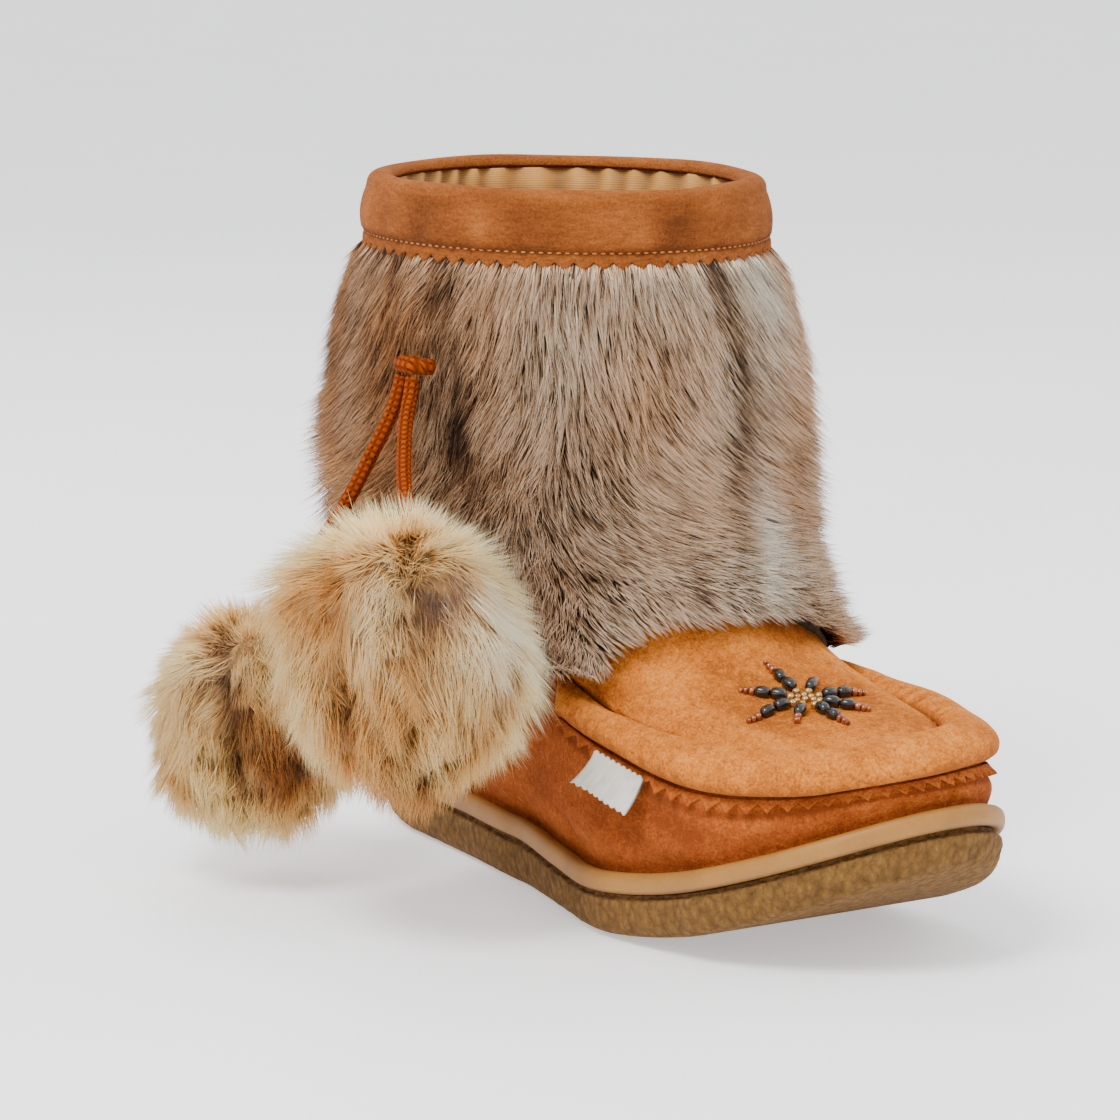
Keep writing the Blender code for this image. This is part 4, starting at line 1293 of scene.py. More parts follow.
def gather_wave(turns, every, seed):
    """Irregular gathers along the roll: 1 on a ridge, -1 in a fold."""
    line = off_upper(turns, roll_level(turns, "low"), 0.0)
    length = np.concatenate([[0], np.cumsum(np.linalg.norm(np.diff(line, axis=0), axis=1))])
    drift = ripple(length[:, None], 0.035, seed)
    wave = np.sin(2 * math.pi * length / every + 2.4 * drift)
    return wave * (0.65 + 0.35 * ripple(length[:, None], 0.02, seed + 1)), length


def make_seam_roll():
    """The puffy roll of suede that is gathered round the apron."""
    turns = front_turns(ROLL_ROUND)
    low, high = roll_level(turns, "low"), roll_level(turns, "high")
    height = ROLL_HEIGHT * roll_fade(turns)
    inner_gather, length = gather_wave(turns, *APRON_GATHERS)
    lower_gather, _ = gather_wave(turns, 0.0085, 41)
    swell = 1 + 0.045 * ripple(length[:, None], 0.05, 51)
    keys = np.linspace(0, 1, len(ROLL_SECTION))
    steps = np.linspace(0, 1, 30)
    acrosses = smooth(keys, column(ROLL_SECTION, "across"), steps)
    heights = smooth(keys, column(ROLL_SECTION, "height"), steps)
    rows = []
    creases = []
    for across, rise, step in zip(acrosses, heights, steps):
        inner_part = ease(step, 0.62, 0.92)
        lower_part = ease(0.42 - step, 0.0, 0.34)
        fold = 0.00034 * inner_gather * inner_part + 0.00024 * lower_gather * lower_part
        fold = fold * ease(rise, 0.02, 0.4)
        lift = height * rise * (1 + (swell - 1) * ease(rise, 0.1, 0.8))
        rows.append(off_upper(turns, low + (high - low) * across, ROLL_SEAT + lift + fold))
        # Painted shade low on the roll where it meets the upper, and over its lower, outer half
        painted_shade = -1.0 * ease(0.35 - rise, 0.0, 0.3) - 0.9 * ease(0.45 - step, 0.0, 0.3)
        creases.append(fold / 0.0006 + painted_shade)
    for across in (0.8, 0.5, 0.2):
        rows.append(off_upper(turns, low + (high - low) * across, ROLL_SEAT))
        creases.append(np.zeros(len(turns)))
    points, crease = ringed(np.array(rows)), ringed(np.array(creases))
    piece = patch_piece("suede_roll", SUEDE_APRON, points, crease, fill=True)
    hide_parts("seam_roll")


def make_apron():
    """The flat panel over the toes, drawn in a little where it is gathered to the roll."""
    turns = front_turns(APRON_ROUND)
    bottom = roll_level(turns, "high") + APRON_CLEARANCE
    top = bottom + np.maximum(fur_hem(turns) + APRON_TUCK - bottom, APRON_LEAST)
    gather, _ = gather_wave(turns, *APRON_GATHERS)
    shares = np.linspace(0, 1, 60) ** 1.35
    grid = np.broadcast_to(turns, (len(shares), len(turns)))
    levels = bottom[None] + (top - bottom)[None] * shares[:, None]
    flat = off_upper(grid, levels, 0.0)
    edge = np.linalg.norm(flat - flat[:1], axis=-1)
    relief = crease_relief(flat, APRON_CREASES)
    relief = relief + 0.0003 * ripple(flat, 0.03, 9)
    relief = relief + 0.00030 * gather[None] * bell(edge, 0.0045) - 0.0004 * bell(edge, 0.002)
    swell = 0.0012 * ease(edge, 0.0, 0.02)
    outside = off_upper(grid, levels, SEAT_GAP + APRON_THICKNESS + np.maximum(relief + swell, -0.0010))
    inside = off_upper(grid, levels, SEAT_GAP)[::-12]
    # Painted shade along the seam with the roll and painted shadow of the fur towards the hem, over the
    # painted shade of the folds
    crease = relief / 0.0014 - 0.9 * bell(edge, 0.0018) - 0.7 * ease(shares[:, None], 0.75, 1.0)
    crease = np.concatenate([crease, np.zeros(inside.shape[:2])])
    points = np.concatenate([outside, inside])
    piece = patch_piece("suede_apron", SUEDE_APRON, ringed(points), ringed(crease), fill=True)
    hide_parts("apron")
    return piece


TRIM_TEETH = 46
TOOTH_POINTS = 8


def make_pinked_trim():
    """The saw-toothed edge of suede under the roll."""
    turns = front_turns(TRIM_TEETH * TOOTH_POINTS + 1)
    place = np.arange(len(turns)) / TOOTH_POINTS
    between = 1 - np.abs(2 * (place - np.floor(place)) - 1)
    tips, shown = roll_level(turns, "tips") - 0.06, roll_level(turns, "low") - TRIM_CLEARANCE
    low = tips + (shown - tips) * 0.72 * between**0.85
    curl = 0.0010 * (1 - between) + 0.0004 * ripple(off_upper(turns, low, 0.0), 0.012, 12)
    shares = np.linspace(0, 1, 7)
    rows = []
    for thick, order in ((PINK_THICKNESS, shares), (0.0, shares[::-1])):
        for share in order:
            out = SEAT_GAP + thick + curl * (1 - share) ** 2
            rows.append(off_upper(turns, low + (shown - low) * share, out))
    # Painted shade up under the roll and on the back; the tips are paler, partly the cut edge's own colour
    # and partly painted highlight
    painted_shade = np.concatenate([0.5 - 1.5 * shares**2, np.full(len(shares), -0.6)])
    crease = np.repeat(painted_shade[:, None], len(turns), axis=1)
    piece = patch_piece("suede_pinking", SUEDE_FOOT, ringed(np.array(rows)), ringed(crease), fill=True)
    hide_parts("pinked_trim")


BAND_TEETH = 68
BAND_GROOVE = 0.0052
BAND_CROWN = 0.0034


def band_ring(turns, height, out):
    ring = off_upper(turns, find_level(turns, height, UP), out)
    ring[:, 2] = height
    return ring


def make_collar_band():
    """The suede band folded over the collar, with a pinked lower edge and a stitched groove."""
    turns = round_turns(BAND_TEETH * TOOTH_POINTS)
    place = turns / (2 * math.pi) * BAND_TEETH
    wave = np.abs(2 * (place - np.floor(place)) - 1)
    bottom = BOOT_HEIGHT - BAND_HEIGHT
    edge = bottom + PINK_DEPTH * 0.8 * (1 - wave)
    outside, inside = SEAT_GAP, -UPPER_WALL - SEAT_GAP
    ring_line = off_upper(turns, TOP, 0.0)
    soft = ripple(ring_line, 0.022, 61)
    pull = ripple(ring_line, 0.009, 62)
    crown = BAND_CROWN
    middle = (outside + BAND_THICKNESS + inside - BAND_THICKNESS) / 2
    half = outside + BAND_THICKNESS - middle
    rows = []
    creases = []

    def add_row(height, out, crease):
        rows.append(band_ring(turns, height, out))
        creases.append(np.full(len(turns), crease))

    # The crease values paint shade in the stitched groove and just above it, a paler rolled top that is
    # partly wear and partly painted highlight, and shade on the facing and seat inside
    for share in np.linspace(0, 1, 7):
        height = edge + (bottom + BAND_GROOVE - edge) * share
        out = outside + BAND_THICKNESS * (0.62 + 0.38 * share) + 0.0005 * (1 - share) * wave
        groove = 0.0007 * bell(share - 1.0, 0.2)
        add_row(height, out - groove, 0.1 - 1.6 * bell(share - 1.0, 0.22))
    for share in np.linspace(0.06, 1, 14):
        height = bottom + BAND_GROOVE + (BOOT_HEIGHT - crown - bottom - BAND_GROOVE) * share
        swell = 0.0011 * np.sin(math.pi * min(share * 1.15, 1.0)) ** 0.8
        fold = (0.00045 * soft + 0.00030 * pull * (1 - share)) * math.sin(math.pi * share) ** 0.5
        crease = fold / 0.0007 - 0.8 * bell(share - 0.06, 0.08) + 0.1
        add_row(height, outside + BAND_THICKNESS + swell + fold, crease)
    for angle in np.linspace(0, math.pi, 13)[1:]:
        lift = 0.00035 * ripple(ring_line, 0.05, 63) * math.sin(angle)
        height = BOOT_HEIGHT - 0.0004 - crown + crown * math.sin(angle) + lift
        add_row(height, middle + half * math.cos(angle), 0.35 * math.sin(angle))
    facing = BOOT_HEIGHT - BAND_SHOWN
    for share in np.linspace(0.25, 1, 4):
        height = BOOT_HEIGHT - crown + (facing - BOOT_HEIGHT + crown) * share
        add_row(height, inside - BAND_THICKNESS * (1 - 0.2 * share), -0.3 * share)
    seat = BOOT_HEIGHT - BAND_THICKNESS
    for height, out in ((facing, inside), (seat, inside), (seat, outside), (edge, outside)):
        add_row(height, out, -0.6)
    points, crease = closed(ringed(np.array(rows))), closed(ringed(np.array(creases)))
    piece = patch_piece("suede_band", SUEDE_BAND, points, crease)
    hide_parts("collar_band")
    make_band_stitches(bottom + BAND_GROOVE, outside + BAND_THICKNESS)


STITCHES = 150
STITCH_TURN = 0.03
STITCH_HALF = (0.00085, 0.00028, 0.00030)


def make_band_stitches(height, out):
    """The stitches in the band's groove."""
    builder = bmesh.new()
    turns = round_turns(STITCHES)
    places = band_ring(turns, height, out - 0.0004)
    ends = band_ring(turns + STITCH_TURN, height, out - 0.0004)
    for place, end in zip(places, ends):
        along = (Vector(end) - Vector(place)).normalized()
        turn = along.to_track_quat("X", "Z").to_matrix().to_4x4()
        size = Matrix.Diagonal((*STITCH_HALF, 1))
        bmesh.ops.create_uvsphere(
            builder, u_segments=6, v_segments=5, radius=1.0, matrix=Matrix.Translation(place) @ turn @ size
        )
    piece = finish_mesh("band_stitches", builder, TAN_THREAD)


LINING_SEAT = 0.0005
LINING_FACE = 0.0012
LINING_TUCK = 0.0008
LINING_END = 1.25
LINING_FOLDS = 34


def make_lining():
    """The gathered lining, from the collar down to the footbed."""
    turns = round_turns(LINING_ROUND)
    top = find_level(turns, BOOT_HEIGHT - BAND_SHOWN + LINING_TUCK, UP)
    shares = np.linspace(0, 1, 36)
    grid = np.broadcast_to(turns, (len(shares), len(turns)))
    levels = top[None] + (LINING_END - top)[None] * shares[:, None]
    flat = off_upper(grid, levels, 0.0)
    folds = np.sin(grid * LINING_FOLDS + 2.2 * ripple(flat, 0.05, 71)) * 0.5 + 0.5
    depth = 0.0010 * ease(1 - shares, 0.0, 1.0)[:, None] + 0.0004
    puff = folds * depth + 0.0005 * ripple(flat, 0.03, 72)
    inner = off_upper(grid, levels, -UPPER_WALL - LINING_FACE - np.maximum(puff, 0))
    outer = off_upper(grid, levels, -UPPER_WALL - LINING_SEAT)[::-7]
    # Painted shade in the fold valleys and paler ridges as painted highlight, with painted shade deepening
    # down into the boot
    crease = (folds * 2 - 1) * 0.6 - 0.35 * shares[:, None]
    crease = np.concatenate([crease, np.zeros(outer.shape[:2])])
    points = np.concatenate([inner, outer])
    piece = patch_piece("satin_lining", LINING, closed(ringed(points)), closed(ringed(crease)))


# The label and the beads
def make_label():
    """The blank woven tab, which curls away from the side."""
    turns = math.pi * np.linspace(LABEL_TURNS[0], LABEL_TURNS[1], 37)
    across = np.linspace(0, 1, len(turns))
    top = roll_level(turns, "low") - 2 * TRIM_CLEARANCE - 0.06 * np.abs((across * 9) % 1 * 2 - 1)
    base = 2 * SEAT_GAP + PINK_THICKNESS
    sides = []
    for thick in (LABEL_THICKNESS, 0.0):
        rows = []
        for share in np.linspace(0, 1, 25):
            stand = LABEL_FLARE * (0.2 * share + 0.8 * share**2)
            wave = 0.00035 * np.sin(across * 9 + 2 * share) * share + 0.0006 * (across - 0.5) ** 2
            rows.append(off_upper(turns, top - LABEL_DROP * share, base + stand + wave + thick))
        sides.append(np.array(rows))
    points = ringed(np.concatenate([sides[0], sides[1][::-1]]))
    piece = patch_piece("blank_label", LABEL_CLOTH, points, fill=True)
    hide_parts("side_label")


# The star's beads from the middle outwards: share of the ray's reach, length, width and kind of each
STAR_RAYS = 8
SHORT_RAYS = (3, 7)
GOLD_BEADS = 7
LONG_RAY = table(
    "share length width kind",
    (0.23, 0.0020, 0.0022, "gold"),
    (0.42, 0.0050, 0.0034, "black"),
    (0.67, 0.0046, 0.0032, "black"),
    (0.84, 0.0019, 0.0024, "copper"),
    (0.93, 0.0016, 0.0020, "copper"),
    (1.01, 0.0013, 0.0016, "copper"),
)
SHORT_RAY = table(
    "share length width kind",
    (0.24, 0.0020, 0.0022, "gold"),
    (0.46, 0.0058, 0.0034, "black"),
    (0.67, 0.0019, 0.0024, "copper"),
    (0.77, 0.0016, 0.0020, "copper"),
)


def make_bead_star(apron):
    """Eight rays of small beads round a cluster of gold ones, sewn on the apron."""
    mesh = apron.data
    tree = BVHTree.FromPolygons([v.co for v in mesh.vertices], [tuple(f.vertices) for f in mesh.polygons])
    builders = {kind: bmesh.new() for kind in BEAD_GLASS}
    middle_x = SOLE_LENGTH * STAR_ALONG - HEEL_SEAT
    chance = np.random.default_rng(5)

    def bead(kind, x, y, way, length, width):
        """A rounded bead lying on the suede, with its length along a way."""
        above = Vector((middle_x + x, STAR_SIDE + y, BOOT_HEIGHT))
        hit, normal, _, _ = tree.ray_cast(above, Vector((0, 0, -1)))
        ahead = Vector((math.cos(way), math.sin(way), 0))
        ahead = (ahead - normal * ahead.dot(normal)).normalized()
        side = normal.cross(ahead)
        turn = Matrix((ahead, side, normal)).transposed().to_4x4()
        size = Matrix.Diagonal((length / 2, width / 2, width / 2, 1))
        made = bmesh.ops.create_uvsphere(builders[kind], u_segments=12, v_segments=8, radius=1.0)["verts"]
        for vertex in made:
            squared = Vector(math.copysign(abs(value) ** 0.72, value) for value in vertex.co)
            vertex.co = Matrix.Translation(hit + normal * width * 0.44) @ turn @ size @ squared

    for ray in range(STAR_RAYS):
        way = 2 * math.pi * ray / STAR_RAYS + chance.uniform(-0.05, 0.05)
        reach = STAR_RADIUS * (1.08 if ray % 2 else 1.16)
        for row in SHORT_RAY if ray in SHORT_RAYS else LONG_RAY:
            x = reach * row.share * math.cos(way) + chance.uniform(-0.0001, 0.0001)
            y = reach * row.share * math.sin(way) + chance.uniform(-0.0001, 0.0001)
            bead(row.kind, x, y, way + chance.uniform(-0.12, 0.12), row.length, row.width)
    for i in range(GOLD_BEADS):
        way = 2 * math.pi * i / GOLD_BEADS
        reach = 0.0024 if i else 0.0
        bead("gold", reach * math.cos(way), reach * math.sin(way), way, 0.0019, 0.0018)
    for kind, builder in builders.items():
        piece = finish_mesh("beads_" + kind, builder, BEAD_GLASS[kind])
        if kind == "black":
            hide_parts("bead_star")


# Fur
STRAND_FACES = (0, 2, 1, 0, 1, 3, 1, 2, 3, 2, 0, 3)
STRAND_MAP = (
    ((0.00, 0.00), (0.50, 0.14), (1.00, 0.00))
    + ((0.00, 0.18), (0.32, 0.18), (0.16, 1.00))
    + ((0.34, 0.18), (0.66, 0.18), (0.50, 1.00))
    + ((0.68, 0.18), (1.00, 0.18), (0.84, 1.00))
)


def make_hairs(name, root, tip, radius, facts, material):
    """Many tapered hairs, each closed, from arrays of their roots and tips."""
    count = len(root)
    along = tip - root
    along /= np.linalg.norm(along, axis=1, keepdims=True)
    first = np.cross(along, np.broadcast_to((0.31, -0.52, 0.79), along.shape))
    first /= np.linalg.norm(first, axis=1, keepdims=True)
    second = np.cross(along, first)
    corners = np.empty((count, 4, 3))
    for i in range(3):
        angle = 2 * math.pi * i / 3
        way = first * math.cos(angle) + second * math.sin(angle)
        corners[:, i] = root + way * radius[:, None]
    corners[:, 3] = tip
    faces = (np.array(STRAND_FACES)[None] + 4 * np.arange(count)[:, None]).ravel()
    mesh = triangle_mesh(name, corners.reshape(-1, 3), faces)
    spread = {fact: np.repeat(values, 4) for fact, values in facts.items()}
    spread["along"] = np.tile((0.0, 0.0, 0.0, 1.0), count)
    for fact, values in spread.items():
        layer = mesh.attributes.new(fact, "FLOAT", "POINT")
        layer.data.foreach_set("value", values.astype(np.float32))
    cells = math.ceil(math.sqrt(count))
    strand = np.arange(count)
    corner = np.stack([strand % cells, strand // cells], -1)[:, None] + 0.05
    chart = (corner + 0.9 * np.array(STRAND_MAP)[None]) / cells
    layer = mesh.uv_layers.new(name="OFBake")
    layer.data.foreach_set("uv", chart.astype(np.float32).ravel())
    piece = place_object(name, mesh, material)
    return piece


HIDE_SEAT = 0.0008
HIDE_THICKNESS = 0.0010
HIDE_PUFF = 0.0045


def make_fur_hide():
    """The hide under the hairs."""
    turns = round_turns(HIDE_ROUND)
    top = find_level(turns, BOOT_HEIGHT - BAND_HEIGHT - 3 * GAP, UP)
    hem = fur_hem(turns) + 0.33
    shares = np.linspace(0, 1, 37)
    grid = np.broadcast_to(turns, (len(shares), len(turns)))
    levels = hem[None] + (top - hem)[None] * shares[:, None]
    seat = HIDE_SEAT + covered(grid, levels)
    puff = HIDE_PUFF * np.sin(math.pi * np.clip(shares, 0.02, 0.99))[:, None] ** 0.5
    puff = puff + 0.0004 * ripple(off_upper(grid, levels, 0), 0.006, 81)
    outside = off_upper(grid, levels, seat + HIDE_THICKNESS + puff)
    inside = off_upper(grid, levels, seat)[::-6]
    piece = patch_piece("fur_hide", HIDE, closed(ringed(np.concatenate([outside, inside]))))
    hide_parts("fur_cuff")


def cord_press(points):
    """1 beside the knot and the upper part of the cords, where the hair is pressed flat, and 0 away."""
    places = [np.array(KNOT_MIDDLE)]
    places += [np.array(point) for route in CORD_ROUTES.values() for point in route[:4]]
    near = np.min([np.linalg.norm(points - place, axis=-1) for place in places], axis=0)
    return bell(near, 0.011)


def spot(turns, heights, patch):
    """How much a patch of the coat weighs at turns and heights."""
    away = np.mod(turns / (2 * math.pi) - patch.turn + 0.5, 1) - 0.5
    return bell(away, patch.wide) * bell(heights - patch.height, patch.high)


# The sizes of the coat's locks and tufts and the shaft's rough radius, in metres, and how many chance
# values the locks draw from
LOCK_SIZE = 0.0024
TUFT_SIZE = 0.0085
SHAFT_RADIUS = 0.07
SHIFT_COUNT = 997
VALUE_COUNT = 9973


def lock_of(turns, climb, size, seed):
    """Gathers hairs into locks: the turn of each one's lock, and a chance value of the lock."""
    columns = int(2 * math.pi * SHAFT_RADIUS / size)
    row = np.floor(climb / (size * 3.2) + 0.6 * np.sin(turns * 9)).astype(int)
    shift = np.random.default_rng(seed).uniform(0, 1, SHIFT_COUNT)[row % SHIFT_COUNT]
    cell = turns / (2 * math.pi) * columns + shift
    index = np.floor(cell).astype(int)
    centre = (index + 0.5 + 0.3 * np.sin(index * 7.3 + row * 3.1) - shift) / columns * 2 * math.pi
    values = np.random.default_rng(seed + 1).normal(0, 1, VALUE_COUNT)
    return centre, np.clip(values[(index * 37 + row * 1013) % VALUE_COUNT], -1.8, 1.8)


def make_hair_pieces(name, count, order, ends, radius, facts, material):
    """Shares hairs out over a few pieces, so that none grows too large."""
    pieces = []
    for k, part in enumerate(np.array_split(np.argsort(order), count)):
        some = {fact: values[part] for fact, values in facts.items()}
        root, tip = (end[part] for end in ends)
        pieces.append(make_hairs(f"{name}_{k + 1}", root, tip, radius[part], some, material))
    return pieces


FUR_HAIRS = 112000
FUR_PIECES = 8
FUR_LENGTH = 0.0120
FUR_OVERHANG = 0.0045
TIPS_BELOW_BAND = 0.0012
ROOTS_UNDER_BAND = 0.0030
FUR_RADIUS = (0.00015, 0.00027)

# What is known of each hair of the coat: the turn and level of its tip, its share of the way up, the point
# of the upper under it, and the lock and the tuft that it is in
CoatHairs = namedtuple("CoatHairs", "turns level share flat lock_turn lock tuft_turn tuft")


def coat_lean(hairs, chance):
    """How far each hair leans round the boot."""
    lean = 0.10 * ripple(hairs.flat, 0.030, 91) + 0.07 * hairs.lock + 0.10 * hairs.tuft
    lean = lean + 0.10 * ripple(hairs.flat, 0.011, 92) + chance.normal(0, 0.09, FUR_HAIRS)
    return lean + sum(flow.lean * spot(hairs.turns, hairs.flat[:, UP], flow) for flow in FLOWS)


def coat_tips(hairs, full, chance):
    """The tips of the hairs. full is 1 where a hair has its whole length."""
    share = hairs.share
    reach = read(FUR_TIPS, "climb", "reach", share)
    reach = reach + 0.0035 * ease(0.02 - hairs.flat[:, 0], 0.0, 0.05) * share * (1 - share) * 4
    reach = reach * (1 - 0.55 * cord_press(off_upper(hairs.turns, hairs.level, reach)))
    rise = 1 + 0.06 * hairs.lock + 0.05 * hairs.tuft + chance.normal(0, 0.10, FUR_HAIRS)
    rise = rise + 0.20 * ease(chance.uniform(0, 1, FUR_HAIRS), 0.93, 1.0) * ease(1 - share, 0.1, 0.3)
    out = covered(hairs.turns, hairs.level) + (0.0012 + reach * (0.25 + 0.75 * full)) * rise
    turns = hairs.turns
    turns = turns + (hairs.lock_turn - turns) * 0.6 + (hairs.tuft_turn - turns) * 0.12
    over_apron = ease(to_toe(hairs.turns) / math.pi, 0.42, 0.58)
    onto_coat = np.maximum(ease(share, 0.0, 0.14), 1 - over_apron)[:, None]
    tip = off_upper(turns, hairs.level, out) * (1 - onto_coat)
    return tip + off_upper(turns, hairs.level, out, COAT_FACE) * onto_coat


def coat_look(hairs, chance):
    """The tone, warmth and paleness of each hair."""
    kind = chance.uniform(0, 1, FUR_HAIRS)
    tone = np.where(kind < 0.52, 0.86, np.where(kind < 0.78, 0.58, 0.22))
    tone = tone + chance.normal(0, 0.11, FUR_HAIRS) + 0.08 * hairs.lock + 0.05 * hairs.tuft
    tone = tone + 0.05 * ripple(hairs.flat, 0.028, 101) + 0.06 * ripple(hairs.flat, 0.008, 102)
    warmth = 0.42 + 0.20 * ripple(hairs.flat, 0.04, 103)
    pale = np.zeros(FUR_HAIRS)
    for patch in COAT_PATCHES:
        weight = spot(hairs.turns, hairs.flat[:, UP], patch)
        tone += weight * patch.tone
        warmth += weight * patch.warmth
        pale += weight * patch.pale
    pale = pale * chance.uniform(0.3, 1, FUR_HAIRS)
    return {"tone": tone, "warmth": np.clip(warmth, 0, 1), "pale": pale}


def make_fur():
    """The coat: hairs that lie downwards in fine locks and hang over the hem."""
    chance = np.random.default_rng(11)
    turns = chance.uniform(0, 2 * math.pi, FUR_HAIRS)
    low = read_face(turns, fur_hem(turns))[:, CLIMB] - FUR_OVERHANG
    high = read_face(turns, find_level(turns, BOOT_HEIGHT - BAND_HEIGHT, UP))[:, CLIMB]
    share = chance.uniform(0, 1, FUR_HAIRS)
    climb = low + (high - TIPS_BELOW_BAND - low) * share
    level = find_level(turns, climb, CLIMB)
    flat = read_face(turns, level)[:, :3]
    locks, tufts = lock_of(turns, climb, LOCK_SIZE, 17), lock_of(turns, climb, TUFT_SIZE, 27)
    hairs = CoatHairs(turns, level, share, flat, *locks, *tufts)
    length = FUR_LENGTH * chance.uniform(0.7, 1.25, FUR_HAIRS)
    lean = coat_lean(hairs, chance)
    root_climb = np.minimum(climb + length, high + ROOTS_UNDER_BAND)
    full = (root_climb - climb) / length
    around = np.hypot(flat[:, 0] - SHAFT_CENTRE, flat[:, 1]) + 0.015
    root_turn = turns + length * full * lean / around
    root_level = find_level(root_turn, root_climb, CLIMB)
    tip = coat_tips(hairs, full, chance)
    under_band = ease(high - root_climb, -0.001, 0.012)
    root_out = covered(root_turn, root_level) + 0.0006 + 0.0040 * under_band
    root = off_upper(root_turn, root_level, root_out)
    radius = chance.uniform(*FUR_RADIUS, FUR_HAIRS)
    look = coat_look(hairs, chance)
    make_hair_pieces("fur_coat", FUR_PIECES, turns, (root, tip), radius, look, COAT_HAIR)


# The pompoms
POMPOM_HAIRS = 26000
POMPOM_PIECES = 2
POMPOM_TUFTS = 230
POMPOM_RADIUS = (0.00012, 0.00022)
CORE_SHARE = 0.77
ROOT_SHARE = 0.74
LEAST_HEIGHT = 0.0015

# The way towards which the hair falls apart, and the way in which the front pompom swells
TUFT_POLE = (-0.38, 0.22, 0.90)
BULGE_WAY = (-0.52, -0.71, 0.48)


def spread_ways(count):
    """Directions spread evenly over a ball."""
    height = 1 - 2 * (np.arange(count) + 0.5) / count
    around = np.arange(count) * math.pi * (3 - math.sqrt(5))
    ring = np.sqrt(1 - height**2)
    return np.column_stack([ring * np.cos(around), ring * np.sin(around), height])


def unit(ways):
    return ways / np.linalg.norm(ways, axis=-1, keepdims=True)


def pompom_reach(spec, way):
    """How far a pompom reaches along a way, with grooves between its lobes, and how deep in one it is."""
    pole = np.array(TUFT_POLE)
    along = way @ pole
    flat = way - along[:, None] * pole
    angle = np.arctan2(flat[:, 1], flat[:, 0]) + spec.first + 0.25 * ripple(way, 1.2, spec.seed)
    groove = (1 - np.abs(np.sin(angle * spec.grooves / 2))) ** 1.6
    groove = groove * ease(1 - np.abs(along), 0.02, 0.30)
    groove = groove * (0.85 + 0.4 * ripple(way, 0.7, spec.seed + 5))
    reach = 1.02 - 0.30 * groove + 0.06 * ripple(way, 0.5, spec.seed + 1)
    swell = bell(np.linalg.norm(way - np.array(BULGE_WAY), axis=1), 0.42)
    return reach + spec.bulge * swell, np.clip(groove, 0, 1)


def pompom_look(spec, way, groove, apart, tuft_tone, chance):
    """The tone, warmth and paleness of each hair. apart is its distance from its tuft's middle."""
    tone = 0.74 + chance.normal(0, 0.12, POMPOM_HAIRS) + 0.10 * ripple(way, 0.8, spec.seed + 7)
    # Painted shade towards each tuft's edge and deep in the grooves between the lobes, where the hair is
    # also warmer
    tone = tone + 0.04 * tuft_tone - 0.08 * ease(apart, 0.05, 0.16)
    tone = tone - 0.42 * groove - spec.shade
    warmth = 0.30 + 0.3 * ripple(way, 0.9, spec.seed + 9) + 0.30 * groove
    pale = np.zeros(POMPOM_HAIRS)
    for patch in spec.patches:
        weight = bell(np.linalg.norm(way - unit(np.array(patch.way)), axis=1), patch.wide)
        tone = tone + patch.tone * weight
        warmth = warmth + patch.warmth * weight
        pale = pale + patch.pale * weight
    pale = pale * chance.uniform(0.3, 1, POMPOM_HAIRS)
    return {"tone": tone, "warmth": np.clip(warmth, 0, 1), "pale": pale}


def make_pompom_core(spec):
    """The body under a pompom's hair, with the same lobes."""
    builder = bmesh.new()
    made = bmesh.ops.create_icosphere(builder, subdivisions=5, radius=1.0)["verts"]
    way = unit(np.array([vertex.co[:] for vertex in made]))
    reach, _ = pompom_reach(spec, way)
    points = np.array(spec.middle) + np.array(spec.half) * CORE_SHARE * way * reach[:, None]
    for vertex, point in zip(made, points):
        vertex.co = point
    core = finish_mesh(spec.name + "_core", builder, POMPOM_HIDE)
    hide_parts(spec.name)
    return core


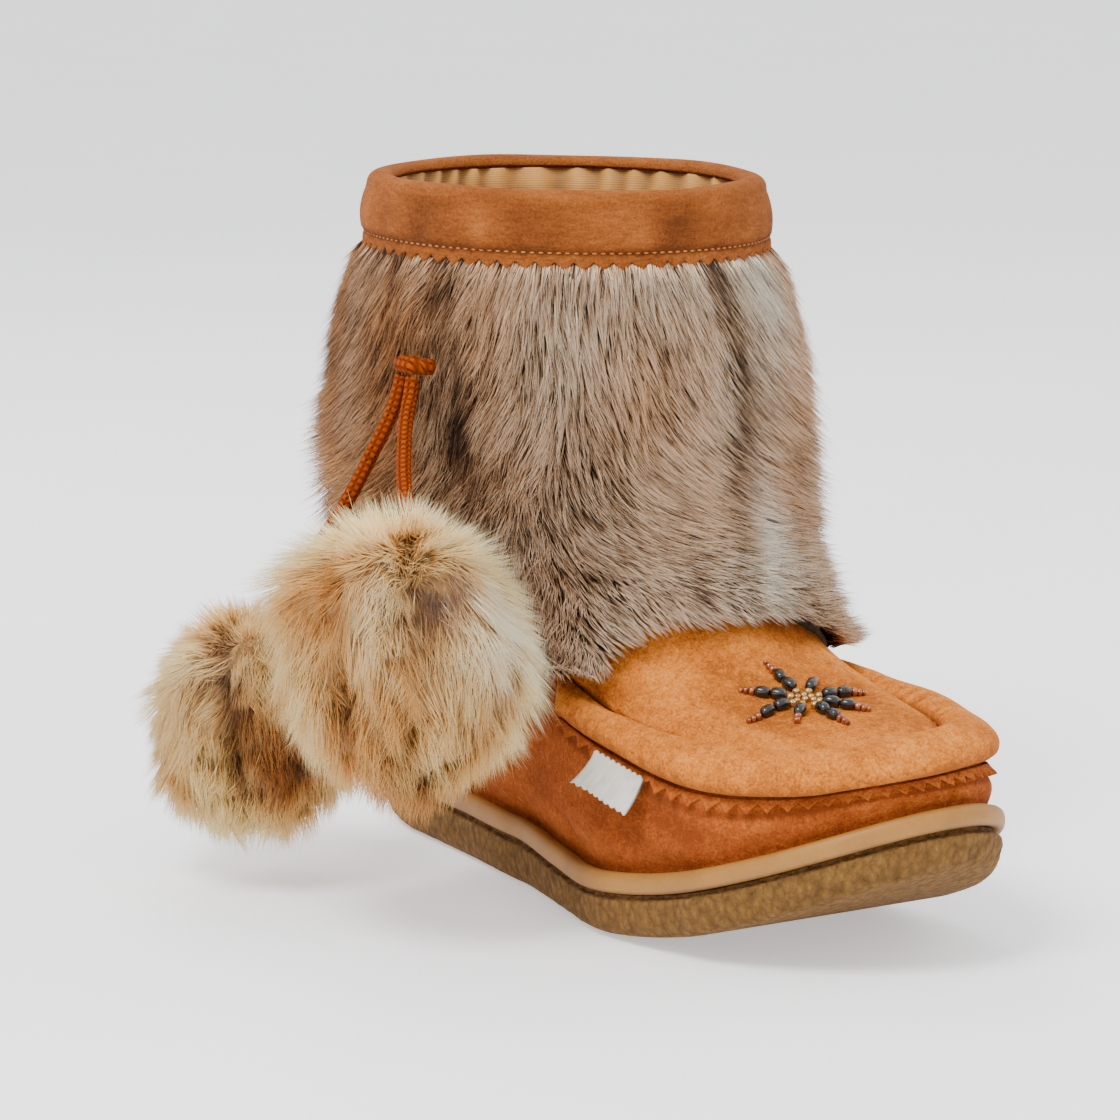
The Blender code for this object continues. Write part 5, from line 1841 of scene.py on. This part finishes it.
def make_pompom(spec):
    """A pompom of soft fur that falls from the cord in lobes and small tufts."""
    middle, half = np.array(spec.middle), np.array(spec.half)
    chance = np.random.default_rng(spec.seed)
    tufts = unit(spread_ways(POMPOM_TUFTS) + chance.normal(0, 0.05, (POMPOM_TUFTS, 3)))
    bunch = np.stack([ripple(spread_ways(POMPOM_HAIRS), 0.20, spec.seed + i) for i in (2, 3, 4)], -1)
    way = unit(spread_ways(POMPOM_HAIRS) + 0.03 * bunch + chance.normal(0, 0.02, bunch.shape))
    own = np.argmax(way @ tufts.T, axis=1)
    apart = np.linalg.norm(way - tufts[own], axis=1)
    tuft_tone = chance.normal(0, 1, POMPOM_TUFTS)[own]
    reach, groove = pompom_reach(spec, way)
    pole = np.array(TUFT_POLE)
    along = way @ pole
    drop = 0.30 + 0.30 * ease(along, -0.9, 0.5) - 0.25 * ease(along, 0.75, 1.0)
    sway = chance.normal(0, 0.05, (POMPOM_TUFTS, 3))[own] + 0.12 * bunch + chance.normal(0, 0.05, way.shape)
    root_way = unit(way + pole * drop[:, None] + sway)
    root_reach, _ = pompom_reach(spec, root_way)
    root = middle + half * ROOT_SHARE * root_way * root_reach[:, None]
    tip_way = unit(way + (tufts[own] - way) * 0.16)
    length = reach * (1.0 - 1.2 * apart**2 + chance.normal(0, 0.035, POMPOM_HAIRS))
    tip = middle + half * tip_way * length[:, None]
    tip[:, UP] = np.maximum(tip[:, UP], LEAST_HEIGHT)
    radius = chance.uniform(*POMPOM_RADIUS, POMPOM_HAIRS)
    look = pompom_look(spec, way, groove, apart, tuft_tone, chance)
    name, ends = spec.name + "_hair", (root, tip)
    order = way[:, UP]
    hairs = make_hair_pieces(name, POMPOM_PIECES, order, ends, radius, look, POMPOM_HAIR)
    return [make_pompom_core(spec)] + hairs


def dress_footbed():
    """The footbed keeps its CAD form and gets its felt."""
    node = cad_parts["insole"]
    for slot in node.material_slots:
        slot.material = FELT


def dress():
    set_camera()
    set_light()
    set_floor()
    cords = make_cords()
    knot = make_knot()
    tufts = {spec.name: make_pompom(spec) for spec in POMPOMS}
    declare_cords(cords, knot, {"cord_front": tufts["pompom_front"], "cord_back": tufts["pompom_back"]})
    make_outsole()
    make_welt()
    dress_footbed()
    make_upper()
    make_seam_roll()
    make_bead_star(make_apron())
    make_pinked_trim()
    make_collar_band()
    make_lining()
    make_label()
    make_fur_hide()
    make_fur()


dress()
